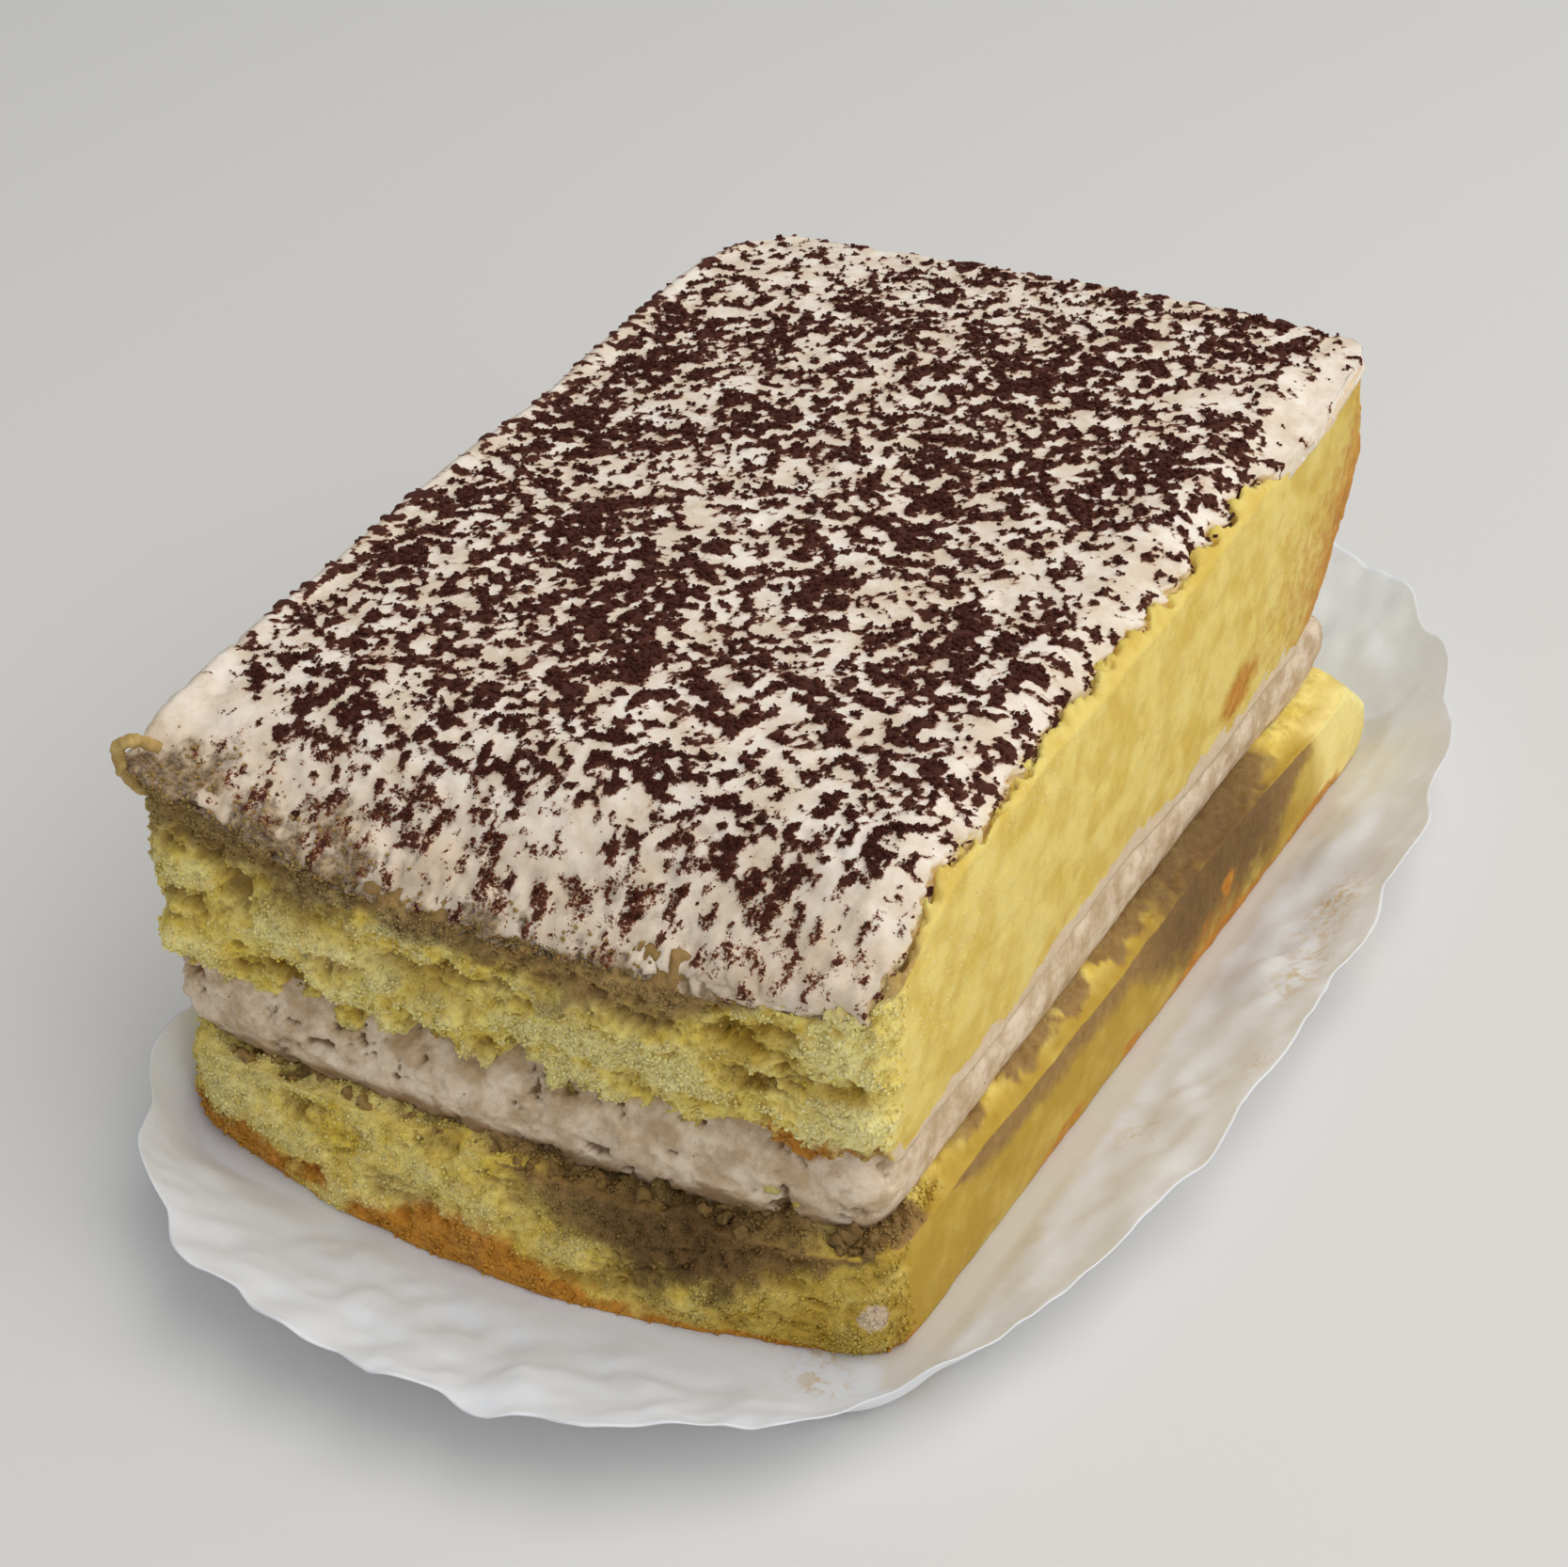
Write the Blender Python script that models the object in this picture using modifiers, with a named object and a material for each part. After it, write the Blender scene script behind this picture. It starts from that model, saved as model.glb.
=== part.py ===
"""Tiramisu portion in a scalloped paper case.

A block cut from a tray cake: two slabs of sponge, a band of cream between them and a
cream topping that rolls down over the front edge, in a shallow oval case of thin paper.
Metres, +Z up. The origin is under the middle of the case, on the surface it stands on.
X runs across the front face, from left to right, and Y from the front to the back.
"""

import math
from dataclasses import dataclass

import bmesh
import bpy
from mathutils import Matrix, Vector

MM = 0.001

# The cake block in plan.
HALF_WIDTH = 27.7 * MM
HALF_LENGTH = 39.6 * MM
CENTRE = Vector((-1.8 * MM, -0.7 * MM))  # the cake doesn't sit quite in the middle of its case
CORNER_POWER = 36.0  # superellipse power of the outline: higher is a sharper corner
FRONT_SKEW = 0.045  # the front cut runs back by this much for each metre to the right
SWELL = 0.5 * MM  # the walls of a layer belly out by this much at mid height
TEAR = 0.7 * MM  # how far the torn front wanders in and out

# The heights of the layers.
LOWER_SPONGE_TOP = 9.3 * MM
MIDDLE_CREAM_TOP = 13.9 * MM
CAKE_HEIGHT = 35.6 * MM  # over the middle of the block
TOP_SLOPE = 0.04  # the topping climbs this much for each metre towards the back
TOPPING_THICKNESS = 4.0 * MM

# The front edge, where the topping rolls over and down, and the cut right edge.
BROW_RUN = 10.0 * MM  # how far back the roll starts
BROW_DROP = 6.6 * MM
LIP_THICKNESS = 1.0 * MM  # what the topping thins to along those two edges
LIP_RUN = 4.5 * MM
CUT_EDGE_DROP = 1.8 * MM  # the knife drags the right edge of the topping down by this much

# The paper case.
PAPER_THICKNESS = 0.4 * MM
BASE_MARGIN = Vector((1.6 * MM, 5.2 * MM))  # the flat base reaches this far beyond the block
BASE_POWER = 12.0
RIM_HALF = Vector((39.2 * MM, 60.6 * MM))
RIM_POWER = 2.65
RIM_HEIGHT = 6.4 * MM
SCALLOPS = 30
SCALLOP_DEPTH = 1.1 * MM
POINTS_PER_SCALLOP = 5
CASE_RINGS = 4

GAP = 0.3 * MM  # left between solids that touch
CELLS = (14, 22, 3)  # cells of a layer across X, Y and its height


def clear_scene():
    for obj in list(bpy.data.objects):
        bpy.data.objects.remove(obj)


def smooth_step(value):
    """0 below 0, 1 above 1, and an S-curve between them."""
    t = min(max(value, 0.0), 1.0)
    return t * t * (3.0 - 2.0 * t)


def ripple(x, y, size, turn):
    """A swell from -1 to 1: the mean of two sines of about that size, which cross at an angle."""
    rate = 2.0 * math.pi / size
    first = math.sin(rate * (x * math.cos(turn) + y * math.sin(turn)) + 3.0 * turn)
    second = math.sin(0.73 * rate * (y * math.cos(turn) - x * math.sin(turn)) + 5.0 * turn)
    return 0.5 * (first + second)


# The surfaces between the layers, each a height over a place in plan.


def cake_base(x, y):
    return PAPER_THICKNESS + GAP


def lower_sponge_top(x, y):
    return LOWER_SPONGE_TOP + 0.6 * MM * ripple(x, y, 31 * MM, 0.9)


def middle_cream_top(x, y):
    return MIDDLE_CREAM_TOP + 0.7 * MM * ripple(x, y, 24 * MM, 2.2)


def inside_edges(x, y):
    """How far a place lies inside the front edge and inside the cut right edge."""
    from_front = y - CENTRE.y + HALF_LENGTH - FRONT_SKEW * (x - CENTRE.x)
    from_right = CENTRE.x + HALF_WIDTH - x
    return from_front, from_right


def topping_top(x, y):
    """A plane that climbs to the back, less the roll of the front brow and the dragged right edge.

    The roll is deepest in the middle of the front and shallow at its left corner.
    """
    from_front, from_right = inside_edges(x, y)
    across = (x - CENTRE.x) / HALF_WIDTH
    plane = CAKE_HEIGHT + TOP_SLOPE * y + 0.4 * MM * ripple(x, y, 38 * MM, 1.4)
    roll = min(max(1.0 - from_front / BROW_RUN, 0.0), 1.05) ** 1.8
    depth = BROW_DROP * (1.0 - 0.7 * max(-across, 0.0) ** 3 - 0.2 * max(across, 0.0) ** 3)
    drag = 1.0 - smooth_step(from_right / LIP_RUN)
    return plane - depth * roll - CUT_EDGE_DROP * drag * (1.0 - 0.6 * min(roll, 1.0))


def upper_sponge_top(x, y):
    """The topping's surface less its thickness, which thins towards the front and the right edge."""
    from_front, from_right = inside_edges(x, y)
    inside = min(smooth_step(from_front / LIP_RUN), smooth_step(from_right / LIP_RUN))
    return topping_top(x, y) - LIP_THICKNESS - (TOPPING_THICKNESS - LIP_THICKNESS) * inside


def above(surface):
    """That surface moved off, along its own normal, by the gap that is left between solids."""
    step = 0.5 * MM

    def lifted(x, y):
        slope_x = (surface(x + step, y) - surface(x - step, y)) / (2.0 * step)
        slope_y = (surface(x, y + step) - surface(x, y - step)) / (2.0 * step)
        return surface(x, y) + GAP * math.sqrt(1.0 + slope_x**2 + slope_y**2)

    return lifted


# The layers of the cake.


def cut_block():
    """A cube from -1 to 1 whose skin is cut into cells, which get smaller towards the edges."""
    shape = bmesh.new()
    bmesh.ops.create_cube(shape, size=2.0)
    for axis, cells in enumerate(CELLS):
        normal = Vector((0, 0, 0))
        normal[axis] = 1.0
        for k in range(1, cells):
            even = 2.0 * k / cells - 1.0
            place = normal * 0.5 * (even + math.sin(0.5 * math.pi * even))
            everything = shape.verts[:] + shape.edges[:] + shape.faces[:]
            bmesh.ops.bisect_plane(shape, geom=everything, plane_co=place, plane_no=normal)
    # Leaned over, every cell has one shorter diagonal, and it runs the same way above and below.
    # Split along it, the facing skins of two neighbours stay parallel.
    lean = Matrix(((1.0, 0.2, 0.2), (0.0, 1.0, 0.2), (0.0, 0.0, 1.0))).to_4x4()
    shape.transform(lean)
    bmesh.ops.triangulate(shape, faces=shape.faces[:], quad_method="SHORT_EDGE")
    shape.transform(lean.inverted())
    return shape


@dataclass
class Outline:
    """The edge of a layer in plan, as what sets it apart from the plain block."""

    spread: float = 0.0  # wider all round
    slide: float = 0.0  # moved to the right
    bow: float = 0.6 * MM  # the middle of the front stands out by this much
    yaw: float = 0.0
    curl: float = 0.0  # the front left corner is drawn out by this much

    def place(self, u, v, swell, tear):
        """Where the square (u, v) from -1 to 1 lands in plan, with the walls swollen and torn."""
        reach = max(abs(u), abs(v), 1e-9)
        norm = max((abs(u) ** CORNER_POWER + abs(v) ** CORNER_POWER) ** (1.0 / CORNER_POWER), 1e-9)
        grown = self.spread + swell * reach**6
        x = (HALF_WIDTH + grown) * u * reach / norm
        y = (HALF_LENGTH + grown) * v * reach / norm
        front = max(-v, 0.0) ** 2
        y += (FRONT_SKEW * x - self.bow * (1.0 - u * u) + tear * (1.0 - abs(u) ** 8)) * front
        corner = max(-u, 0.0) ** 10 * max(-v, 0.0) ** 10
        x -= self.curl * corner
        y -= 0.5 * self.curl * corner
        return Matrix.Rotation(self.yaw, 2) @ Vector((x, y)) + CENTRE + Vector((self.slide, 0.0))


def layer(name, low, low_outline, high, high_outline, material):
    """A slab between two surfaces, its walls running from the lower outline to the upper one."""
    shape = cut_block()
    for vertex in shape.verts:
        u, v, w = vertex.co
        height = (w + 1.0) / 2.0
        belly = 1.0 - w * w
        tear = TEAR * belly * ripple(u * HALF_WIDTH, w * 9.0 * MM, 17.0 * MM, 0.5)
        lower = low_outline.place(u, v, SWELL * belly, tear)
        upper = high_outline.place(u, v, SWELL * belly, tear)
        x, y = lower.lerp(upper, height)
        bottom, top = low(*lower), high(*upper)
        vertex.co = Vector((x, y, bottom + (top - bottom) * height))
    return finish(name, shape, material)


def finish(name, shape, material):
    """Makes the object of a bmesh, with its material, shaded smooth."""
    bmesh.ops.recalc_face_normals(shape, faces=shape.faces[:])
    mesh = bpy.data.meshes.new(name)
    shape.to_mesh(mesh)
    shape.free()
    mesh.materials.append(material)
    mesh.shade_smooth()
    obj = bpy.data.objects.new(name, mesh)
    portion.objects.link(obj)
    return obj


# The paper case.


def superellipse_reach(heading, half, power):
    """What a heading is multiplied by to bring it onto the superellipse of those half axes."""
    return (abs(heading.x / half.x) ** power + abs(heading.y / half.y) ** power) ** (-1.0 / power)


def case_point(angle, share):
    """A point of the case: share 0 is the edge of the flat base and 1 is the rim.

    The base follows the block, and the rim is a superellipse. The scallops are arches that grow
    from nothing at the base to their full depth at the rim, and the wall lifts in a curve.
    """
    heading = Vector((RIM_HALF.x * math.cos(angle), RIM_HALF.y * math.sin(angle)))
    block = Vector((HALF_WIDTH, HALF_LENGTH)) + BASE_MARGIN
    base = CENTRE + heading * superellipse_reach(heading, block, BASE_POWER)
    rim = heading * superellipse_reach(heading, RIM_HALF, RIM_POWER)
    arch = SCALLOP_DEPTH * share * (abs(math.sin(0.5 * SCALLOPS * angle)) - 0.5)
    x, y = base.lerp(rim, share) + arch * heading.normalized()
    height = RIM_HEIGHT * (1.0 + 0.08 * math.sin(2.0 * angle + 0.6))
    return Vector((x, y, height * share**1.5))


def paper_case(material):
    """A fan for the flat base, drawn outwards ring by ring, then given its thickness."""
    shape = bmesh.new()
    around = SCALLOPS * POINTS_PER_SCALLOP
    bmesh.ops.create_circle(shape, cap_ends=True, cap_tris=True, segments=around, radius=1.0)
    rings = [[vertex for vertex in shape.verts if vertex.is_boundary]]
    edges = [edge for edge in shape.edges if edge.is_boundary]
    for _ in range(CASE_RINGS):
        grown = bmesh.ops.extrude_edge_only(shape, edges=edges)["geom"]
        rings.append([item for item in grown if isinstance(item, bmesh.types.BMVert)])
        edges = [item for item in grown if isinstance(item, bmesh.types.BMEdge) and item.is_boundary]
    for k, ring in enumerate(rings):
        for vertex in ring:
            angle = math.atan2(vertex.co.y, vertex.co.x)
            vertex.co = case_point(angle, k / CASE_RINGS)
    case = finish("paper_case", shape, material)
    wall = case.modifiers.new("paper", "SOLIDIFY")
    wall.thickness = PAPER_THICKNESS
    wall.offset = -1.0  # the faces look down and out, so the paper thickens upwards
    return case


def matte(name, colour, roughness):
    material = bpy.data.materials.new(name)
    material.use_nodes = True
    shader = material.node_tree.nodes["Principled BSDF"]
    shader.inputs["Base Color"].default_value = (*colour, 1.0)
    shader.inputs["Roughness"].default_value = roughness
    shader.inputs["Metallic"].default_value = 0.0
    material.diffuse_color = (*colour, 1.0)
    return material


def main():
    paper_case(matte("paper", (0.86, 0.86, 0.85), 0.7))
    sponge = matte("sponge", (0.72, 0.55, 0.16), 0.85)
    filling = matte("filling_cream", (0.62, 0.53, 0.47), 0.6)
    topping = matte("topping_cream", (0.78, 0.72, 0.63), 0.65)
    turned = math.radians(-1.2)
    foot = Outline(spread=0.5 * MM, bow=5.2 * MM, yaw=turned)
    shoulder = Outline(spread=0.5 * MM, bow=2.6 * MM, yaw=turned)
    cream_foot = Outline(spread=-0.7 * MM, slide=-1.4 * MM, bow=2.6 * MM)
    cream_edge = Outline(spread=-0.7 * MM, slide=-1.4 * MM, bow=0.0)
    cut_foot = Outline(slide=-1.4 * MM, bow=0.0)
    cut_edge = Outline()
    crown = Outline(spread=0.3 * MM, curl=1.6 * MM)
    layer("lower_sponge", cake_base, foot, lower_sponge_top, shoulder, sponge)
    layer("middle_cream", above(lower_sponge_top), cream_foot, middle_cream_top, cream_edge, filling)
    layer("upper_sponge", above(middle_cream_top), cut_foot, upper_sponge_top, cut_edge, sponge)
    layer("topping_cream", above(upper_sponge_top), cut_edge, topping_top, crown, topping)


clear_scene()
portion = bpy.data.collections.new("tiramisu_portion")
bpy.context.scene.collection.children.link(portion)
main()
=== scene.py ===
# %% [markdown]
# # A portion of tiramisu in its paper case
#
# A block cut from a tray cake: sponge, cream, sponge, and a cream topping dusted with cocoa.
# It stands in a shallow oval case of thin white paper with a scalloped rim. The solids of the
# cake are already packed as a frame, at their real size. This lesson dresses them: each layer
# becomes a fine surface worked out with numpy, follows its solid, and gets its own finish.

import math

import bmesh
import bpy
import numpy as np
from mathutils import Matrix, Vector


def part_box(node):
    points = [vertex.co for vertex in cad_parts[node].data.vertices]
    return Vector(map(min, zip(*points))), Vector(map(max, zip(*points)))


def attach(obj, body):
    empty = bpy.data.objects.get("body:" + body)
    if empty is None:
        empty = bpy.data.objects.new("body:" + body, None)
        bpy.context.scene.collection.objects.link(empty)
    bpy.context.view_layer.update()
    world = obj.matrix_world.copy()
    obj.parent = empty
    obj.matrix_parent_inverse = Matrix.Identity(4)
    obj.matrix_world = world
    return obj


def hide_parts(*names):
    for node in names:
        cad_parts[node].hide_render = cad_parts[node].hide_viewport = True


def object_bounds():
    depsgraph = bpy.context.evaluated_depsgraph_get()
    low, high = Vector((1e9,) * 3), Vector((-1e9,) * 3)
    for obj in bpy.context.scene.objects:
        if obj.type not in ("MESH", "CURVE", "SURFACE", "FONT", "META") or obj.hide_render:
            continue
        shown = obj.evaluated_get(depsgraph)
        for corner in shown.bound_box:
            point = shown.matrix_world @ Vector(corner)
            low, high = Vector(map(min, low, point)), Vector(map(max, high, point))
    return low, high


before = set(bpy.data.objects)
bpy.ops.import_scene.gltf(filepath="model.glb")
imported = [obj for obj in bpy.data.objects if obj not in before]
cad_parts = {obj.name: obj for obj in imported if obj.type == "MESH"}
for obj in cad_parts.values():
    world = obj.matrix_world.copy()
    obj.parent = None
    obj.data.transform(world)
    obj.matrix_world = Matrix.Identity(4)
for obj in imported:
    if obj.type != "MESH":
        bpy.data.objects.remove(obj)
cad_box = [list(corner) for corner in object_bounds()]
MM = 0.001
print("frame nodes:", sorted(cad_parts))
print("whole object, mm:", np.round(np.array(cad_box) / MM, 1).tolist())

# %% [markdown]
# ## Measuring the frame
#
# Every place below is worked out from the boxes of the solids. The upper sponge is the plain
# cut block: its right face and its back face are the block's own, so its box gives the middle
# of the cut. The other layers lean, spread or slide a little away from that block.

# %% Boxes of the layers and the middle of the cut
lower_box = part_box("lower_sponge")
middle_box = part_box("middle_cream")
upper_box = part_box("upper_sponge")
topping_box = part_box("topping_cream")

SWELL = 0.4 * MM  # the cut walls belly out by this much at mid height
HALF_WIDTH = 27.7 * MM
HALF_LENGTH = 39.6 * MM
CUT_X = upper_box[1].x - HALF_WIDTH
CUT_Y = upper_box[1].y - SWELL - HALF_LENGTH
LOWER_TOP = lower_box[1].z - 0.6 * MM
MIDDLE_TOP = middle_box[1].z - 0.7 * MM
print("middle of the cut, mm:", round(CUT_X / MM, 2), round(CUT_Y / MM, 2))

# %% [markdown]
# ## Noise worked out in numpy
#
# Crumb, cream and scattered cocoa are all uneven in the same way: random, but smooth from one
# point to the next. Blender's own noise isn't open to numpy arrays, so a small one is written
# here. A scrambled whole number stands at each corner of a lattice of cubes, and a point blends
# the eight corners round it. The same seed always gives the same cake.


# %% Random numbers on a lattice
def scrambled(cell, seed):
    """A number from 0 to 1 for each whole-number cell: its three indices mixed, then shuffled twice."""
    cell = cell.astype(np.int64)
    mixed = cell[..., 0] * 374761393 + cell[..., 1] * 668265263 + cell[..., 2] * 2147483647 + seed * 974711
    mixed = (mixed ^ (mixed >> 13)) * 1274126177 & 0xFFFFFFFF
    mixed = (mixed ^ (mixed >> 16)) * 2246822519 & 0xFFFFFFFF
    return ((mixed ^ (mixed >> 15)) & 0xFFFFFF) / float(0xFFFFFF)


def smooth(value):
    """0 below 0, 1 above 1 and an S-curve between: 3 t squared less 2 t cubed."""
    t = np.clip(value, 0.0, 1.0)
    return t * t * (3.0 - 2.0 * t)


def lattice_noise(points, size, seed):
    """From -1 to 1: the eight corners of the cube round a point, blended by S-curves along its sides."""
    scaled = points / size
    cell = np.floor(scaled)
    blend = smooth(scaled - cell)
    total = 0.0
    for corner in np.ndindex(2, 2, 2):
        side = np.array(corner)
        weight = np.prod(np.where(side == 1, blend, 1.0 - blend), axis=-1)
        total = total + weight * scrambled(cell + side, seed)
    return 2.0 * total - 1.0


def fractal(points, size, octaves, seed, rough=0.5):
    """Layers of lattice noise, each half the size and rough times the strength of the one before."""
    total, strength, whole = 0.0, 1.0, 0.0
    for k in range(octaves):
        total = total + strength * lattice_noise(points, size / 2.0**k, seed + k)
        whole += strength
        strength *= rough
    return total / whole


def nearest_seed(points, size, seed):
    """One seed sits at random in each cube of that size.

    Returns the distance to the nearest one, in cubes, and that seed's luck, from 0 to 1.
    """
    scaled = points / size
    cell = np.floor(scaled)
    best = np.full(points.shape[:-1], 9.0)
    luck = np.zeros(points.shape[:-1])
    for step in np.ndindex(3, 3, 3):
        place = cell + np.array(step) - 1.0
        spot = np.stack([scrambled(place, seed + k) for k in range(3)], axis=-1)
        distance = np.linalg.norm(place + spot - scaled, axis=-1)
        closer = distance < best
        best = np.where(closer, distance, best)
        luck = np.where(closer, scrambled(place, seed + 3), luck)
    return best, luck


def pits(points, size, width, seed):
    """Round hollows from 0 to 1 deep: a bowl round each seed, as wide as its luck times width."""
    distance, luck = nearest_seed(points, size, seed)
    radius = np.maximum(width * luck, 1e-3)
    return np.sqrt(np.clip(1.0 - (distance / radius) ** 2, 0.0, 1.0)) * (0.4 + 0.6 * luck)


def domes(points, size, seed):
    """Rounded lumps from 0 to 1 high, one round each seed: 1 less the squared distance to it."""
    distance, _ = nearest_seed(points, size, seed)
    return np.clip(1.0 - (distance / 0.85) ** 2, 0.0, 1.0)


def warped(points, size, amount, seed):
    """The points pushed about by noise, which makes round patterns ragged."""
    push = [fractal(points, size, 2, seed + 10 * k) for k in range(3)]
    return points + amount * np.stack(push, axis=-1)


def spots(across, up, places):
    """The sum of soft spots on a face. A place is its centre, its reach both ways and its strength."""
    total = 0.0 * across
    for centre, level, reach, rise, strength in places:
        total = total + strength * np.exp(-(((across - centre) / reach) ** 2) - ((up - level) / rise) ** 2)
    return total


def band(distance, reach):
    """1 at an edge, and 0 past the reach of a stain that spreads from it."""
    return smooth(1.15 - 0.8 * distance / np.maximum(reach, 0.1 * MM)) * smooth(reach / (0.5 * MM))


def hill(value, centre, reach):
    """A bell curve: 1 at the centre, and about a third at the reach."""
    return np.exp(-(((value - centre) / reach) ** 2))


def in_plan(x, y):
    """Places on the floor, for noise that is the same at every height."""
    return np.stack([x, y, 0.0 * x], axis=-1)


sample = np.random.default_rng(1).uniform(-0.04, 0.04, (4000, 3))
print("noise spread:", np.round(np.percentile(fractal(sample, 3 * MM, 4, 5), [1, 50, 99]), 2))

# %% [markdown]
# ## Where the cut faces and the layers run
#
# In plan the block is a rectangle with slightly soft corners. A square from -1 to 1 is pressed
# into a superellipse to give it, so one pair of numbers (u, v) names the same place on every
# layer. Its front is cut askew and bows out, more at the foot than higher up. Each boundary
# between two layers is a height over a place in plan, and the top one rolls over at the front.

# %% The outline in plan
CORNER_POWER = 36.0
FRONT_SKEW = 0.045
FOOT = dict(spread=0.5 * MM, bow=5.2 * MM, yaw=math.radians(-1.2))
SHOULDER = dict(spread=0.5 * MM, bow=2.6 * MM, yaw=math.radians(-1.2))
CREAM_FOOT = dict(spread=-0.7 * MM, slide=-1.4 * MM, bow=2.6 * MM)
CREAM_EDGE = dict(spread=-0.7 * MM, slide=-1.4 * MM, bow=0.0)
CUT_FOOT = dict(slide=-1.4 * MM, bow=0.0)
CUT_EDGE = dict()
CROWN = dict(spread=-0.15 * MM, curl=1.6 * MM)
REAR_CUT = 3.5 * MM  # how far the rear left corner is clipped


def outline(u, v, spread=0.0, slide=0.0, bow=0.6 * MM, yaw=0.0, curl=0.0):
    """Plan position of (u, v): the square divided by its superellipse norm, then bowed, skewed and turned."""
    reach = np.maximum(np.maximum(abs(u), abs(v)), 1e-9)
    norm = np.maximum((abs(u) ** CORNER_POWER + abs(v) ** CORNER_POWER) ** (1.0 / CORNER_POWER), 1e-9)
    x = (HALF_WIDTH + spread) * u * reach / norm
    y = (HALF_LENGTH + spread) * v * reach / norm
    front = np.maximum(-v, 0.0) ** 2
    y = y + (FRONT_SKEW * x - bow * (1.0 - u * u)) * front
    corner = np.maximum(-u, 0.0) ** 10 * np.maximum(-v, 0.0) ** 10
    clipped = np.maximum(-u, 0.0) ** 10 * np.maximum(v, 0.0) ** 10
    x = x - curl * corner + REAR_CUT * clipped
    y = y - 0.5 * curl * corner - 0.5 * REAR_CUT * clipped
    cosine, sine = math.cos(yaw), math.sin(yaw)
    return x * cosine - y * sine + CUT_X + slide, x * sine + y * cosine + CUT_Y


# %% The surfaces between the layers
TOP_SLOPE = 0.04
TOP_HEIGHT = topping_box[1].z - TOP_SLOPE * topping_box[1].y
BROW_RUN = 10.0 * MM
BROW_DROP = 6.6 * MM
CUT_EDGE_DROP = 1.8 * MM
TOPPING_THICKNESS = 4.0 * MM
LIP_THICKNESS = 1.0 * MM
LIP_RUN = 4.5 * MM


def ripple(x, y, size, turn):
    """A swell from -1 to 1: the mean of two sines of about that size, which cross at an angle."""
    rate = 2.0 * math.pi / size
    first = np.sin(rate * (x * math.cos(turn) + y * math.sin(turn)) + 3.0 * turn)
    second = np.sin(0.73 * rate * (y * math.cos(turn) - x * math.sin(turn)) + 5.0 * turn)
    return 0.5 * (first + second)


def lower_top(x, y):
    """Where the lower sponge ends and the cream begins."""
    return LOWER_TOP + 0.6 * MM * ripple(x, y, 31 * MM, 0.9)


def middle_top(x, y):
    """Where the cream ends and the upper sponge begins."""
    return MIDDLE_TOP + 0.7 * MM * ripple(x, y, 24 * MM, 2.2)


def inside_edges(x, y):
    """How far a place lies inside the front edge and inside the cut right edge."""
    from_front = y - CUT_Y + HALF_LENGTH - FRONT_SKEW * (x - CUT_X)
    return from_front, CUT_X + HALF_WIDTH - x


def topping_top(x, y):
    """A plane that climbs to the back, less the rolled brow at the front and the dragged right edge."""
    from_front, from_right = inside_edges(x, y)
    across = (x - CUT_X) / HALF_WIDTH
    plane = TOP_HEIGHT + TOP_SLOPE * y + 0.4 * MM * (ripple(x, y, 38 * MM, 1.4) - 1.0)
    roll = np.clip(1.0 - from_front / BROW_RUN, 0.0, 1.05) ** 1.8
    left, right = np.clip(-across, 0.0, 1.1), np.clip(across, 0.0, 1.1)
    depth = BROW_DROP * (1.0 - 0.7 * left**3 - 0.2 * right**3)
    along = (y - CUT_Y) / HALF_LENGTH
    drag = (1.0 - smooth(from_right / LIP_RUN)) * (1.0 - 0.85 * smooth((along - 0.65) / 0.35))
    return plane - depth * roll - CUT_EDGE_DROP * drag * (1.0 - 0.6 * np.minimum(roll, 1.0))


def upper_top(x, y):
    """The topping's surface less its thickness, which thins towards the front and the right edge."""
    from_front, from_right = inside_edges(x, y)
    inside = np.minimum(smooth(from_front / LIP_RUN), smooth(from_right / LIP_RUN))
    return topping_top(x, y) - LIP_THICKNESS - (TOPPING_THICKNESS - LIP_THICKNESS) * inside


def bare_edge(x, y):
    """1 where a knife has scraped the topping off the cut right edge and sponge lies bare, 0 further in."""
    _, from_right = inside_edges(x, y)
    along = (y - CUT_Y) / HALF_LENGTH
    rear = smooth((along - 0.4) / 0.2)
    wander = fractal(in_plan(x, y), 1.8 * MM, 4, 175, 0.65)
    width = 0.4 * MM + 0.4 * MM * hill(along, 0.0, 0.3) + 2.0 * MM * wander
    return smooth(1.0 - (from_right - width * (1.0 - rear) + 1.0 * MM * rear) / (0.9 * MM))


def slab_top(x, y):
    """The upper slab's top: bare along the right edge, and dragged up over the topping's foot in front."""
    from_front, from_right = inside_edges(x, y)
    across = (x - CUT_X) / HALF_WIDTH
    wander = fractal(in_plan(x, y), 1.8 * MM, 3, 177, 0.7)
    front = smooth(1.0 - (from_front - 0.7 * MM) / (1.3 * MM))
    dragged = (0.45 - 0.35 * smooth((across - 0.1) / 0.7)) * MM + 0.55 * MM * wander
    hidden = upper_top(x, y)
    rounding = 0.6 * MM * np.clip(1.0 - from_right / (1.1 * MM), 0.0, 1.3) ** 2
    bare = (topping_top(x, y) + 0.12 * MM - hidden - rounding) * bare_edge(x, y)
    return hidden + 0.1 * MM + np.maximum(front * dragged, bare)


probe = np.array([0.0])
surfaces = {"lower": lower_top, "middle": middle_top, "upper": upper_top, "topping": topping_top}
for label, surface in surfaces.items():
    print(label, "surface over the middle, mm:", round(float(surface(probe, probe)[0]) / MM, 2))

# %% [markdown]
# ## Turning grids into meshes
#
# A layer is a wall carried round its outline, closed by a lid above and below. The wall and the
# lids share one loop of (u, v) pairs: on a lid the loop shrinks towards the middle and ends in a
# single point. That keeps each layer one closed skin, so its normals always point outwards.


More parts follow.
